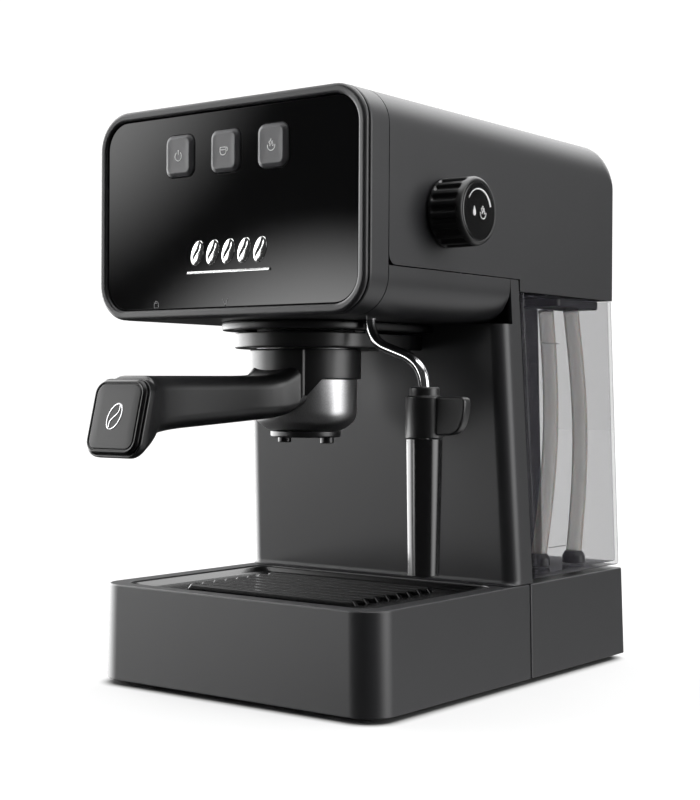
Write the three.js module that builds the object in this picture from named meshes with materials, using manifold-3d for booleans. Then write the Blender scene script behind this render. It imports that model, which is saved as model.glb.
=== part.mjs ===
// Espresso machine: a compact pump machine with a head, a column, a drip tray base,
// a clear tank at the rear right, a steam pipe and a lever-handled filter holder.
// Millimetres, +Z up, +Y to the rear, +X to the user's right when facing the front.
import * as THREE from 'three';
import { mergeVertices } from 'three/addons/utils/BufferGeometryUtils.js';
import Module from 'manifold-3d';

const wasm = await Module();
wasm.setup();

// ---------- Driving sizes ----------
const width = 200;            // head and column, side to side at the top
const bodyDepth = 279.5;      // front frame to the rear face of the tank
const baseHeight = 60.5;      // floor to the rim of the drip tray
const columnHeight = 158.5;   // tray rim to the underside of the head
const headHeight = 123.8;     // underside of the head to the top of the cover
const footHeight = 3;         // how far the shell stands off the floor
const columnFront = 134.8;    // front of the column, at the seam height
const bayDepth = 122.5;       // depth of the tank bay, back from its front wall
const wall = 2.5;
const gap = 0.3;              // between pieces that touch
const slip = 0.6;             // between pieces that slide or lift
const flareRate = 0.000227;   // sides widen by this share of X for each mm down
const leanRate = 0.066;       // the column front moves back this much for each mm down
const rearRate = 0.033;       // the rear faces spread back this much for each mm down
const rearRun = 60;           // how far in front of the rear face that spread begins

// ---------- Levels and planes that follow from them ----------
const half = width / 2;
const headFloor = baseHeight + columnHeight;
const headTop = headFloor + headHeight;
const seamZ = headFloor + 27;        // level seam between head shell and cover
const skirtZ = seamZ - 7;            // lower edge of the cover over the tank
const bayFront = bodyDepth - bayDepth;
const bodyFloor = baseHeight + slip;

const flareAt = (z) => 1 + flareRate * (skirtZ - z);
const leanAt = (z) => leanRate * (seamZ - z);

// ---------- Materials ----------
function finish(color, roughness, metalness = 0, extra = {}) {
  return new THREE.MeshStandardMaterial({ color, roughness, metalness, ...extra });
}
const satinBlack = finish(0x3c3c3e, 0.5);
const gloss = finish(0x08080a, 0.08);
const softBlack = finish(0x1c1c1e, 0.55);
const keyGrey = finish(0x55565a, 0.45);
const steel = finish(0xc6c8cb, 0.25, 1);
const chrome = finish(0xdcdee0, 0.08, 1);
const satinAlloy = finish(0xb4b6b8, 0.4, 1);
const brass = finish(0xb08a4a, 0.35, 1);
const rubber = finish(0x161617, 0.85);
const redRubber = finish(0x8a3a2c, 0.7);
const clear = finish(0xb4b4c4, 0.06, 0, { transparent: true, opacity: 0.3 });
const silicone = finish(0xcfc8c0, 0.4, 0, { transparent: true, opacity: 0.7 });
const boardGreen = finish(0x2c5a3c, 0.6);

// ---------- Solids from three.js geometry ----------
// Signed volume of a closed indexed mesh, so that faces can be turned outwards.
function signedVolume(positions, index) {
  let sum = 0;
  for (let i = 0; i < index.length; i += 3) {
    const [a, b, c] = [0, 1, 2].map((k) => new THREE.Vector3().fromArray(positions, index[i + k] * 3));
    sum += a.dot(b.cross(c));
  }
  return sum / 6;
}

function toSolid(geometry) {
  const plain = geometry.index ? geometry.toNonIndexed() : geometry.clone();
  plain.deleteAttribute('normal');
  plain.deleteAttribute('uv');
  const merged = mergeVertices(plain, 1e-4);
  const positions = Float32Array.from(merged.attributes.position.array);
  const index = [];
  const all = merged.index.array;
  for (let i = 0; i < all.length; i += 3) {
    const [a, b, c] = [all[i], all[i + 1], all[i + 2]];
    if (a !== b && b !== c && c !== a) index.push(a, b, c);
  }
  if (signedVolume(positions, index) < 0) index.reverse();
  return new wasm.Manifold(new wasm.Mesh({
    numProp: 3, vertProperties: positions, triVerts: Uint32Array.from(index),
  }));
}

function toGeometry(solid) {
  const mesh = solid.getMesh();
  const geometry = new THREE.BufferGeometry();
  geometry.setAttribute('position', new THREE.BufferAttribute(Float32Array.from(mesh.vertProperties), 3));
  geometry.setIndex(new THREE.BufferAttribute(Uint32Array.from(mesh.triVerts), 1));
  return geometry;
}

function roundRect(x0, x1, y0, y1, radius) {
  const [bl, br, tr, tl] = Array.isArray(radius) ? radius : [radius, radius, radius, radius];
  const shape = new THREE.Shape();
  const corner = (x, y, r, from) => {
    if (r > 0) shape.absarc(x, y, r, from, from + Math.PI / 2, false);
    else shape.lineTo(x, y);
  };
  shape.moveTo(x0 + bl, y0);
  shape.lineTo(x1 - br, y0);
  corner(x1 - br, y0 + br, br, -Math.PI / 2);
  shape.lineTo(x1, y1 - tr);
  corner(x1 - tr, y1 - tr, tr, 0);
  shape.lineTo(x0 + tl, y1);
  corner(x0 + tl, y1 - tl, tl, Math.PI / 2);
  shape.lineTo(x0, y0 + bl);
  corner(x0 + bl, y0 + bl, bl, Math.PI);
  return shape;
}

function outline(points) {
  return new THREE.Shape(points.map(([x, y]) => new THREE.Vector2(x, y)));
}

// A round outline with a stated number of sides.
function regular(x, y, radius, sides) {
  const turns = Array.from({ length: sides }, (_, i) => (i / sides) * Math.PI * 2);
  return outline(turns.map((turn) => [x + radius * Math.cos(turn), y + radius * Math.sin(turn)]));
}

// A shape drawn in the plane across an axis, pulled from one level to another along it:
// Z takes (X, Y), Y takes (X, Z) and X takes (Y, Z).
const axisFrames = {
  x: new THREE.Matrix4().set(0, 0, 1, 0, 1, 0, 0, 0, 0, 1, 0, 0, 0, 0, 0, 1),
  y: new THREE.Matrix4().set(1, 0, 0, 0, 0, 0, -1, 0, 0, 1, 0, 0, 0, 0, 0, 1),
  z: new THREE.Matrix4(),
};
function prism(axis, shape, from, to, arcSteps = 2) {
  const distinct = (points) => points.filter((p, i) =>
    p.distanceTo(points[(i + points.length - 1) % points.length]) > 1e-3);
  const drawn = shape.extractPoints(arcSteps);
  const flat = new THREE.Shape(distinct(drawn.shape));
  flat.holes = drawn.holes.map((hole) => new THREE.Path(distinct(hole)));
  const geometry = new THREE.ExtrudeGeometry(flat, { depth: to - from, bevelEnabled: false });
  geometry.translate(0, 0, axis === 'y' ? -to : from);
  geometry.applyMatrix4(axisFrames[axis]);
  return toSolid(geometry);
}

function block(x0, x1, y0, y1, z0, z1) {
  const geometry = new THREE.BoxGeometry(x1 - x0, y1 - y0, z1 - z0);
  geometry.translate((x0 + x1) / 2, (y0 + y1) / 2, (z0 + z1) / 2);
  return toSolid(geometry);
}

// A profile of [radius, height] turned about a line along the named axis.
function turned(axis, profile, centre, segments = 20) {
  const points = profile.map(([r, h]) => new THREE.Vector2(r, h));
  const geometry = new THREE.LatheGeometry(points, segments);
  if (axis === 'z') geometry.rotateX(Math.PI / 2);
  if (axis === 'x') geometry.rotateZ(-Math.PI / 2);
  geometry.translate(...centre);
  return toSolid(geometry);
}

function rod(axis, radius, from, to, centre, segments = 16) {
  return turned(axis, [[0, from], [radius, from], [radius, to], [0, to]], centre, segments);
}

function ring(axis, inner, outer, from, to, centre, segments = 24) {
  const profile = [[inner, from], [outer, from], [outer, to], [inner, to], [inner, from]];
  return turned(axis, profile, centre, segments);
}

function tube(path, radius, sides, steps) {
  const section = regular(0, 0, radius, sides);
  return toSolid(new THREE.ExtrudeGeometry(section, { steps, bevelEnabled: false, extrudePath: path }));
}

function throughPoints(points) {
  return new THREE.CatmullRomCurve3(points.map((p) => new THREE.Vector3(...p)), false, 'centripetal');
}

function join(...solids) {
  return solids.reduce((sum, next) => sum.add(next));
}

function cut(solid, ...tools) {
  return tools.reduce((rest, tool) => rest.subtract(tool), solid);
}

// The lower body widens towards the floor, and its front walls lean back.
function settle(solid, leans) {
  const geometry = toGeometry(solid);
  const at = geometry.attributes.position;
  for (let i = 0; i < at.count; i += 1) {
    const z = at.getZ(i);
    const share = Math.min(1, (bodyDepth - at.getY(i)) / bayDepth);
    at.setX(i, at.getX(i) * flareAt(z));
    const rear = Math.min(1, Math.max(0, 1 - (bodyDepth - at.getY(i)) / rearRun));
    const forward = leans ? leanAt(z) * Math.max(0, share) : 0;
    at.setY(i, at.getY(i) + forward + rearRate * (skirtZ - z) * rear);
  }
  return geometry;
}

const machine = new THREE.Group();

function addPart(name, body, material) {
  const geometry = body instanceof THREE.BufferGeometry ? body : toGeometry(body);
  const mesh = new THREE.Mesh(geometry, material);
  mesh.name = name;
  machine.add(mesh);
  return mesh;
}

// ---------- Head: frame, panel, buttons ----------
const frameDepth = 3.2;
const frameBorder = 5.5;
const frameRadius = 22;
const tongueInset = 3.2;
const tongueBack = 9;
const housingFront = 4.6;
const coverFront = 21.6;
const panelFront = 2.2;
const panelThickness = 2.7;
const bulkheadY = 9.6;

function headOutline(inset, radius = frameRadius) {
  return roundRect(-half + inset, half - inset, headFloor + inset, headTop - inset, radius - inset);
}

function addFrontFrame() {
  const frame = prism('y', headOutline(0), 0, frameDepth);
  const tongue = prism('y', headOutline(tongueInset), frameDepth - 1, tongueBack);
  const opening = prism('y', headOutline(frameBorder), -1, tongueBack + 1);
  addPart('front_bezel', cut(join(frame, tongue), opening), satinBlack);
}

const windowHalf = 52;
const buttonZ = headTop - 29.5;
function addFrontHousing() {
  const band = prism('y', headOutline(0), housingFront, coverFront - gap);
  const inside = prism('y', headOutline(tongueInset - gap), housingFront - 1, coverFront + 1);
  const bulkhead = prism('y', headOutline(tongueInset - gap - 0.5), bulkheadY, bulkheadY + 2);
  const window = block(-windowHalf, windowHalf, bulkheadY - 1, bulkheadY + 3, buttonZ - 14, buttonZ + 14);
  addPart('front_housing', join(cut(band, inside), cut(bulkhead, window)), satinBlack);
}

const buttonWidth = 21.4;
const buttonTall = 24.2;
const buttonRadius = 5;
const buttonPitch = 35;
const buttonProud = 2.4;
const buttonTravel = 1.2;
const buttons = [['button_power', -buttonPitch], ['button_brew', 0], ['button_steam', buttonPitch]];
const flangeFront = panelFront + panelThickness + 0.5;
const stemTip = 7.3;

function buttonOutline(x, grow) {
  const [w, h] = [buttonWidth / 2 + grow, buttonTall / 2 + grow];
  return roundRect(x - w, x + w, buttonZ - h, buttonZ + h, buttonRadius + grow);
}

function addPanelAndButtons() {
  const plate = prism('y', headOutline(frameBorder + gap), panelFront, panelFront + panelThickness);
  const holes = buttons.map(([, x]) => prism('y', buttonOutline(x, slip / 2), -1, 9));
  addPart('front_panel', cut(plate, ...holes), gloss);
  for (const [name, x] of buttons) {
    const cap = prism('y', buttonOutline(x, 0), panelFront - buttonProud, flangeFront + 0.5);
    const flange = prism('y', buttonOutline(x, 1), flangeFront, flangeFront + 1);
    const stem = rod('y', 2, flangeFront + 0.5, stemTip, [x, 0, buttonZ], 10);
    addPart(name, join(cap, flange, stem), keyGrey);
  }
}

function addButtonBoard() {
  const front = bulkheadY + 2 + gap;
  const board = block(-windowHalf + 4, windowHalf - 4, front, front + 1.6, buttonZ - 13, buttonZ + 13);
  const switchFront = stemTip + buttonTravel + gap;
  const switches = buttons.map(([, x]) =>
    block(x - 3, x + 3, switchFront, front + 0.5, buttonZ - 3, buttonZ + 3));
  addPart('button_board', join(board, ...switches), boardGreen);
}

// ---------- Head: shell, cover, filling lid ----------
const groupY = 75.5;
const ringBore = 34.4;        // socket of the bayonet ring; the whole group follows it
const brewRadius = ringBore + 1.6;
const ringRadius = ringBore + 8.6;
const plateRadius = ringRadius + 7.6;
const pipeRadius = 3.25;
const pipePlay = 0.55;        // between the steam pipe and the group's plate
const wandX = plateRadius + pipePlay + pipeRadius;
const wandY = 66.5;
const knobZ = headFloor + 59.5;
const shellBack = columnFront + 11.9;
const coverRearTop = 14;

function addHeadShell() {
  const tub = (inset, floor, top) => roundRect(
    -half + inset, half - inset, floor, top, [frameRadius - inset, frameRadius - inset, 0, 0]);
  const outer = prism('y', tub(0, headFloor, seamZ - gap), coverFront, shellBack);
  const inner = prism('y', tub(wall, headFloor + wall, seamZ + 1), coverFront - 1, shellBack + 1);
  const brewHole = rod('z', brewRadius + 1, headFloor - 1, headFloor + 5, [0, groupY, 0], 24);
  const pipeHole = rod('z', pipeRadius + slip, headFloor - 1, headFloor + 5, [wandX, wandY, 0], 12);
  addPart('head_shell', cut(outer, inner, brewHole, pipeHole), satinBlack);
}

const tankWidth = 54;
const tubeBay = 30;            // the tubes' side of the tank, beside the filling funnel
const tankPlay = 1.7;          // between the tank and the partition
const bayLeft = half - tankWidth - tankPlay;
const lidRight = half - tubeBay;
const lidLeft = lidRight - 42;
const lidFront = bayFront + 23;
const lidAxisY = bodyDepth - 17.5;
const lidBarrel = 2.5;
const lidAxisZ = headTop - lidBarrel;
const lidPin = 1.1;

function coverVolume(inset) {
  const section = roundRect(-half + inset, half - inset, skirtZ - inset * 4, headTop - inset,
    [0, 0, frameRadius - inset, frameRadius - inset]);
  const side = roundRect(coverFront - inset * 2, bodyDepth - inset, skirtZ - inset * 4, headTop - inset,
    [0, 0, coverRearTop - inset, 0]);
  return prism('y', section, coverFront - inset * 2, bodyDepth - inset)
    .intersect(prism('x', side, -half, half));
}

function addTopCover() {
  const notchBack = bayFront + leanAt(skirtZ) + gap;
  const notch = block(-half - 1, half + 1, 0, notchBack, skirtZ - 12, seamZ + gap);
  const stemHole = rod('x', 6, half - 6, half + 2, [0, groupY, knobZ], 14);
  const lidHole = block(lidLeft - slip, lidRight + slip, lidFront - slip,
    lidAxisY + lidBarrel + slip, headTop - 6, headTop + 1);
  const pinNotch = rod('x', lidPin + gap, lidLeft - 3, lidRight + 3, [0, lidAxisY, lidAxisZ], 12);
  addPart('top_cover', cut(coverVolume(0), coverVolume(wall), notch, stemHole, lidHole, pinNotch),
    satinBlack);
}

function addFillLid() {
  const plate = block(lidLeft, lidRight, lidFront, lidAxisY, headTop - wall, headTop);
  const barrel = rod('x', lidBarrel, lidLeft, lidRight, [0, lidAxisY, lidAxisZ], 16);
  const pins = rod('x', lidPin, lidLeft - 2.4, lidRight + 2.4, [0, lidAxisY, lidAxisZ], 12);
  addPart('fill_lid', join(plate, barrel, pins), satinBlack);
}

// The funnel's left wall slants over the partition, so that its mouth lies inside the tank.
const chuteWall = 1.6;
const chuteLow = skirtZ + 1.5;
const chuteTop = headTop - wall - slip;
const chuteInset = 2;          // the funnel stands inside the lid's outline
function addFillChute() {
  const mouth = bayLeft + 6;
  const bendLow = chuteLow + 22;
  const bendHigh = bendLow + 26;
  const section = (inset, low, top) => outline([[mouth + inset, low], [lidRight - chuteInset - inset, low],
    [lidRight - chuteInset - inset, top], [lidLeft + chuteInset + inset, top],
    [lidLeft + chuteInset + inset, bendHigh], [mouth + inset, bendLow]]);
  const [front, back] = [lidFront + chuteInset, lidAxisY - 6];
  const outer = prism('y', section(0, chuteLow, chuteTop), front, back);
  const inner = prism('y', section(chuteWall, chuteLow - 1, chuteTop + 1), front + chuteWall, back - chuteWall);
  addPart('fill_chute', cut(outer, inner), softBlack);
}

// ---------- Column and rear body ----------
const columnRadius = 9;
const rearRadius = 8;
const serviceHole = { left: -half + 16, right: bayLeft - 16, low: baseHeight + 22, high: skirtZ - 16 };

function bodyOutline(inset) {
  const [left, right, front, back] = [-half + inset, half - inset, columnFront + inset, bodyDepth - inset];
  const r = columnRadius - inset;
  const shape = new THREE.Shape();
  shape.moveTo(left, front + r);
  shape.absarc(left + r, front + r, r, Math.PI, Math.PI * 1.5, false);
  shape.absarc(right - r, front + r, r, -Math.PI / 2, 0, false);
  shape.lineTo(right, bayFront - inset);
  shape.lineTo(bayLeft - inset, bayFront - inset);
  shape.lineTo(bayLeft - inset, back);
  shape.absarc(left + rearRadius - inset, back - rearRadius + inset, rearRadius - inset,
    Math.PI / 2, Math.PI, false);
  return shape;
}

function addBodyShell() {
  const outer = prism('z', bodyOutline(0), bodyFloor, seamZ - gap);
  const inner = prism('z', bodyOutline(wall), bodyFloor - 1, seamZ + 1);
  const underHead = block(-half - 1, half + 1, 0, shellBack + gap, headFloor - gap, seamZ + 1);
  const underCover = block(-half - 1, half + 1, bayFront + 0.01, bodyDepth + 1, skirtZ - gap, seamZ + 1);
  const { left, right, low, high } = serviceHole;
  const service = prism('y', roundRect(left, right, low, high, 5), bodyDepth - 6, bodyDepth + 1);
  addPart('body_shell', settle(cut(outer, inner, underHead, underCover, service), true), satinBlack);
}

function addServiceCover() {
  const { left, right, low, high } = serviceHole;
  const plate = prism('y', roundRect(left + slip, right - slip, low + slip, high - slip, 4.5),
    bodyDepth - wall, bodyDepth);
  const slots = [];
  for (let i = 0; i < 6; i += 1) {
    const z = high - 16 - i * 8;
    slots.push(block(left + 14, right - 14, bodyDepth - 5, bodyDepth + 1, z - 1.5, z + 1.5));
  }
  addPart('service_cover', settle(cut(plate, ...slots), false), satinBlack);
}

// ---------- Base ----------
const trayFront = 4;
const trayBack = 165.7;
const trayRadius = 17;
const baseBack = bodyDepth + 2.2;   // before the rear spreads
const recessInset = 11;
const ledge = 2;
const gridBottom = baseHeight - 6.2;
const gridBack = columnFront + 8.2;
const trayFloor = 15.5;
const tongueHalf = half - 12;
const tongueLow = footHeight + 1.5;
const tongueHigh = tongueLow + 3;

function trayOutline(inset, radius) {
  return roundRect(-half + inset, half - inset, trayFront + inset, trayBack - inset,
    [radius, radius, 1, 1]);
}

function addDripTray() {
  const outer = prism('z', trayOutline(0, trayRadius), footHeight, baseHeight);
  const hollow = prism('z', trayOutline(wall, trayRadius - wall), footHeight - 1, baseHeight - 3);
  const edge = recessInset + ledge;
  const well = (grow, low) => prism('z', roundRect(-half + edge - grow, half - edge + grow,
    trayFront + edge - grow, gridBack - ledge + grow, 8 + grow), low, baseHeight - 2.5);
  const recess = prism('z', roundRect(-half + recessInset, half - recessInset,
    trayFront + recessInset, gridBack + slip, 10), gridBottom - gap, baseHeight + 1);
  const rearGap = block(-tongueHalf - 2, tongueHalf + 2, trayBack - 12, trayBack + 1,
    footHeight - 1, tongueHigh + slip);
  const shell = join(cut(outer, hollow), well(wall, trayFloor - wall));
  addPart('drip_tray', settle(cut(shell, well(0, trayFloor), recess, rearGap), false), satinBlack);
}

const slatCount = 8;
const slatPitch = 10.6;
const slatFirst = 43;
const slatWidth = 4.2;
const slatHalf = half - 36;
function addDripGrid() {
  const reach = (half - recessInset) * flareAt(gridBottom) - slip;
  const front = trayFront + recessInset + slip;
  const plateTop = gridBottom + 2.4;
  const top = baseHeight - 0.5;
  let grid = prism('z', roundRect(-reach, reach, front, gridBack, 9), gridBottom, plateTop);
  const rimOut = prism('z', roundRect(-reach, reach, front, gridBack, 9), plateTop - 1, top);
  const rimWall = 5;
  const rimIn = prism('z', roundRect(-reach + rimWall, reach - rimWall, front + rimWall,
    gridBack - rimWall, 5), plateTop - 2, top + 1);
  grid = join(grid, cut(rimOut, rimIn));
  for (let i = 0; i <= slatCount; i += 1) {
    const y = slatFirst + (i - 0.5) * slatPitch;
    const opening = (slatPitch - slatWidth) / 2;
    grid = cut(grid, block(-slatHalf + 2, slatHalf - 2, y - opening, y + opening, gridBottom - 1, top + 1));
  }
  const side = outline([[-slatHalf, plateTop - 1], [slatHalf, plateTop - 1], [slatHalf, plateTop],
    [slatHalf - 2.5, top], [-slatHalf + 2.5, top], [-slatHalf, plateTop]]);
  for (let i = 0; i < slatCount; i += 1) {
    const y = slatFirst + i * slatPitch;
    grid = join(grid, prism('y', side, y - slatWidth / 2, y + slatWidth / 2));
  }
  addPart('drip_grid', grid, softBlack);
}

const baseWall = 3;
const baseRadius = 2.5;         // rear upright corners
const glandZ = baseHeight / 2;
const glandX = -half + 30;       // before the sides flare
function addBaseRear() {
  const front = trayBack + slip;
  const corners = [1, 1, baseRadius, baseRadius];
  const outer = prism('z', roundRect(-half, half, front, baseBack, corners), footHeight, baseHeight);
  const inner = prism('z', roundRect(-half + baseWall, half - baseWall, front + baseWall,
    baseBack - baseWall, 1), footHeight - 1, baseHeight - baseWall);
  const tongueGap = block(-tongueHalf - 2, tongueHalf + 2, front - 1, front + baseWall + 1,
    footHeight - 1, tongueHigh + slip);
  const glandHole = rod('y', 6, baseBack - baseWall - 1, baseBack + 1, [glandX, 0, glandZ], 16);
  addPart('base_rear', settle(cut(outer, inner, tongueGap, glandHole), false), satinBlack);
}

const footRadius = 9;
function addBasePlateAndFeet() {
  const [front, back] = [trayFront + 16, baseBack - baseWall + 2.3];
  addPart('base_plate', prism('z', roundRect(-tongueHalf, tongueHalf, front, back, 6), tongueLow,
    tongueHigh), softBlack);
  const spots = { front_left: [-1, front + 14], front_right: [1, front + 14],
    rear_left: [-1, back - 14], rear_right: [1, back - 14] };
  for (const [place, [side, y]] of Object.entries(spots)) {
    const centre = [side * (tongueHalf - 14), y, 0];
    addPart(`foot_${place}`, rod('z', footRadius, 0, tongueLow - gap, centre, 16), rubber);
  }
}

function addMainsGland() {
  const face = baseBack + gap;
  const profile = [[3.5, face - 8], [5.5, face - 8], [5.5, face], [9, face], [9, face + 2.7],
    [3.5, face + 2.7], [3.5, face - 8]];
  addPart('mains_gland', settle(turned('y', profile, [glandX, 0, glandZ], 20), false), rubber);
}

// ---------- Brew group ----------
const plateLow = headFloor - 5.4;
const ringLow = headFloor - 16;
const ringHigh = headFloor - 7;
const lipBore = ringBore - 3;
const lipHigh = ringLow + 3.8;
const rimRadius = lipBore - 1.5;
const earRadius = ringBore - 0.7;     // play of the lugs in the socket
const earHalfAngle = Math.PI / 10;
const unlockTurn = -Math.PI / 6;

function tailedDisc(radius, back, bore) {
  const shape = new THREE.Shape();
  shape.moveTo(-radius, back);
  shape.lineTo(-radius, groupY);
  shape.absarc(0, groupY, radius, Math.PI, Math.PI * 2, false);
  shape.lineTo(radius, back);
  shape.holes.push(regular(0, groupY, bore, 28));
  return shape;
}

// A wedge between two radii, centred on the given bearing from +X.
function sector(inner, outer, bearing, halfAngle, low, high) {
  const shape = new THREE.Shape();
  shape.absarc(0, groupY, outer, bearing - halfAngle, bearing + halfAngle, false);
  shape.absarc(0, groupY, inner, bearing + halfAngle, bearing - halfAngle, true);
  return prism('z', shape, low, high);
}

function addGroup() {
  const back = columnFront + leanAt(headFloor) - slip;
  addPart('group_plate', prism('z', tailedDisc(plateRadius, back, brewRadius + 1), plateLow,
    headFloor - gap, 6), softBlack);
  const body = prism('z', tailedDisc(ringRadius, back, ringBore), lipHigh - 0.2, ringHigh, 6);
  const lip = prism('z', tailedDisc(ringRadius, back, lipBore), ringLow, lipHigh, 6);
  const notches = [0, Math.PI].map((side) =>
    sector(lipBore - 2, ringBore - 0.1, side + unlockTurn, earHalfAngle + 0.03, ringLow - 1, lipHigh + 1));
  addPart('group_ring', cut(join(body, lip), ...notches), softBlack);
}

const holderTop = headFloor - 8;
const gasketRadius = rimRadius - 0.3;
const bossRadius = rimRadius - 6.3;
const brewTop = headFloor + 12.7;
function addBrewHead() {
  const centre = [0, groupY, 0];
  const profile = [[0, headFloor - 5.8], [bossRadius, headFloor - 5.8], [bossRadius, headFloor + 0.4],
    [brewRadius, headFloor + 0.4], [brewRadius, brewTop], [0, brewTop]];
  addPart('brew_head', turned('z', profile, centre, 24), brass);
  addPart('group_gasket', ring('z', bossRadius + gap, gasketRadius, holderTop + 1.3, headFloor + 0.1,
    centre, 24), rubber);
  const screen = rod('z', bossRadius - 0.8, headFloor - 7.6, headFloor - 6.1, centre, 24);
  const holes = [];
  for (let i = 0; i < 10; i += 1) {
    const turn = (i / 10) * Math.PI * 2;
    const at = [15 * Math.cos(turn), groupY + 15 * Math.sin(turn), 0];
    holes.push(rod('z', 1.2, headFloor - 8, headFloor - 5, at, 6));
  }
  addPart('shower_screen', cut(screen, ...holes), steel);
  addPart('screen_screw', rod('z', 4, headFloor - 9.6, headFloor - 7.9, centre, 12), steel);
}

// ---------- Filter holder, handle ----------
const bodyRadius = rimRadius + 1;
const cupBore = rimRadius - 2.3;
const collarWall = 3.1;
const collarRadius = rimRadius + gap + collarWall;
const collarHigh = ringLow - 0.4;
const collarLow = headFloor - 34;
const cupLow = headFloor - 65;
function addFilterHolder() {
  const centre = [0, groupY, 0];
  const profile = [[4, cupLow], [bodyRadius - 8.9, cupLow], [bodyRadius - 4.4, cupLow + 1.6],
    [bodyRadius - 1.4, cupLow + 4.2], [bodyRadius, cupLow + 8], [bodyRadius, collarLow - gap],
    [rimRadius, collarLow - gap], [rimRadius, holderTop], [cupBore, holderTop], [cupBore, cupLow + 9],
    [cupBore - 3.1, cupLow + 4], [4, cupLow + 3.5], [4, cupLow]];
  const cup = turned('z', profile, centre, 24);
  const ears = [0, Math.PI].map((side) =>
    sector(rimRadius - 1, earRadius, side, earHalfAngle, lipHigh + gap, holderTop - 0.4));
  addPart('filter_holder', join(cup, ...ears), satinAlloy);
  const floorZ = cupLow + 10.3;
  const outer = cupBore - 1;
  const inner = outer - 0.8;
  const basket = [[0, floorZ], [outer - 2, floorZ], [outer, floorZ + 2.4], [outer, holderTop + gap],
    [rimRadius - 0.6, holderTop + gap], [rimRadius - 0.6, holderTop + 1], [inner, holderTop + 1],
    [inner, floorZ + 2.8], [inner - 1.6, floorZ + 0.9], [0, floorZ + 0.9]];
  addPart('filter_basket', turned('z', basket, centre, 24), steel);
}

const spoutOffset = bodyRadius - 14.5;
function addPourSpout() {
  const disk = rod('z', bodyRadius - 9.7, cupLow - 4, cupLow - gap, [0, groupY, 0], 24);
  const feed = rod('z', 3.6, cupLow - 1, cupLow + 2.5, [0, groupY, 0], 12);
  let spout = join(disk, feed);
  for (const side of [-1, 1]) {
    const centre = [side * spoutOffset, groupY, 0];
    spout = join(spout, rod('z', 4, cupLow - 7.5, cupLow - 3.5, centre, 14));
    spout = cut(spout, rod('z', 2.2, cupLow - 9, cupLow + 1, centre, 10));
  }
  addPart('pour_spout', spout, softBlack);
}

const handleEnd = -84;         // middle of the cap's face, along Y
const handleCapZ = headFloor - 55.2;
const capTilt = 14 * Math.PI / 180;
const capTall = 42.5;
const capWide = 40;
const capThickness = 3;
const beamHalf = 13.5;
const beamTop = headFloor - 33;
function addHandle() {
  const collar = ring('z', rimRadius + gap, collarRadius, collarLow, collarHigh, [0, groupY, 0], 24);
  const along = [Math.sin(capTilt), Math.cos(capTilt)];
  const edge = (t) => [handleEnd + capThickness + 1 + along[0] * t, handleCapZ + along[1] * t];
  const rootY = groupY - collarRadius + 6;
  const side = outline([edge(-capTall / 2), [handleEnd + 17, handleCapZ - capTall / 2 + 3],
    [handleEnd + 24, handleCapZ - 10.5], [handleEnd + 70, handleCapZ - 6], [rootY - 12, cupLow + 8.5],
    [rootY + 2, cupLow + 15], [rootY + 2, collarHigh], [rootY - 7, collarHigh - 1],
    [rootY - 9, beamTop + 3], [rootY - 14, beamTop], edge(capTall / 2)]);
  const beam = prism('x', side, -beamHalf, beamHalf);
  const flare = prism('x', outline([edge(-capTall / 2), [handleEnd + 14, handleCapZ - capTall / 2 + 3],
    [handleEnd + 15, handleCapZ + capTall / 2 - 2], edge(capTall / 2)]), -capWide / 2, capWide / 2);
  const bore = rod('z', bodyRadius + gap, cupLow - 5, collarLow + 0.1, [0, groupY, 0], 24);
  const neck = rod('z', rimRadius + gap, collarLow - 1, collarHigh + 2, [0, groupY, 0], 24);
  addPart('handle', cut(join(collar, beam, flare), bore, neck), softBlack);
  const cap = prism('y', roundRect(-capWide / 2, capWide / 2, -capTall / 2, capTall / 2, 8),
    0, capThickness);
  const mesh = addPart('handle_cap', cap, gloss);
  mesh.position.set(0, handleEnd, handleCapZ);
  mesh.rotation.x = -capTilt;
}

// ---------- Boiler and its fittings ----------
const boilerRadius = 40;
const flangeRadius = boilerRadius + 6;
const boilerSplit = brewTop + 30;
const boilerTop = boilerSplit + 38;
function addBoiler() {
  const centre = [0, groupY, 0];
  const low = brewTop + gap;
  const flange = boilerSplit - 5;
  addPart('boiler_lower', turned('z', [[0, low], [boilerRadius, low], [boilerRadius, flange],
    [flangeRadius, flange], [flangeRadius, boilerSplit], [boilerRadius - 4, boilerSplit],
    [boilerRadius - 4, low + 4], [0, low + 4]], centre, 24), satinAlloy);
  const seat = boilerSplit + gap;
  addPart('boiler_gasket', ring('z', boilerRadius - 3, flangeRadius - 1, seat, seat + 1.6, centre),
    redRubber);
  const upper = seat + 1.6 + gap;
  addPart('boiler_upper', turned('z', [[boilerRadius - 4, upper], [flangeRadius, upper],
    [flangeRadius, upper + 5], [boilerRadius, upper + 5], [boilerRadius, boilerTop - 5],
    [boilerRadius - 5, boilerTop], [0, boilerTop], [0, boilerTop - 4], [boilerRadius - 7, boilerTop - 4],
    [boilerRadius - 4, boilerTop - 7], [boilerRadius - 4, upper]], centre, 24), satinAlloy);
  const coil = [];
  for (let i = 0; i <= 8; i += 1) {
    const turn = (i / 8) * Math.PI * 2;
    coil.push([24 + 3.5 * Math.cos(turn), boilerSplit - 10 + 3.5 * Math.sin(turn)]);
  }
  coil[8] = [...coil[0]];
  addPart('heating_element', turned('z', coil, centre, 24), steel);
  const stats = [['brew_thermostat', -20, brass], ['thermal_fuse', 0, steel],
    ['steam_thermostat', 20, brass]];
  for (const [name, x, material] of stats) {
    const radius = name === 'thermal_fuse' ? 4 : 7.5;
    addPart(name, rod('z', radius, boilerTop + gap, boilerTop + 7, [x, groupY - 12, 0], 14), material);
  }
}

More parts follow.
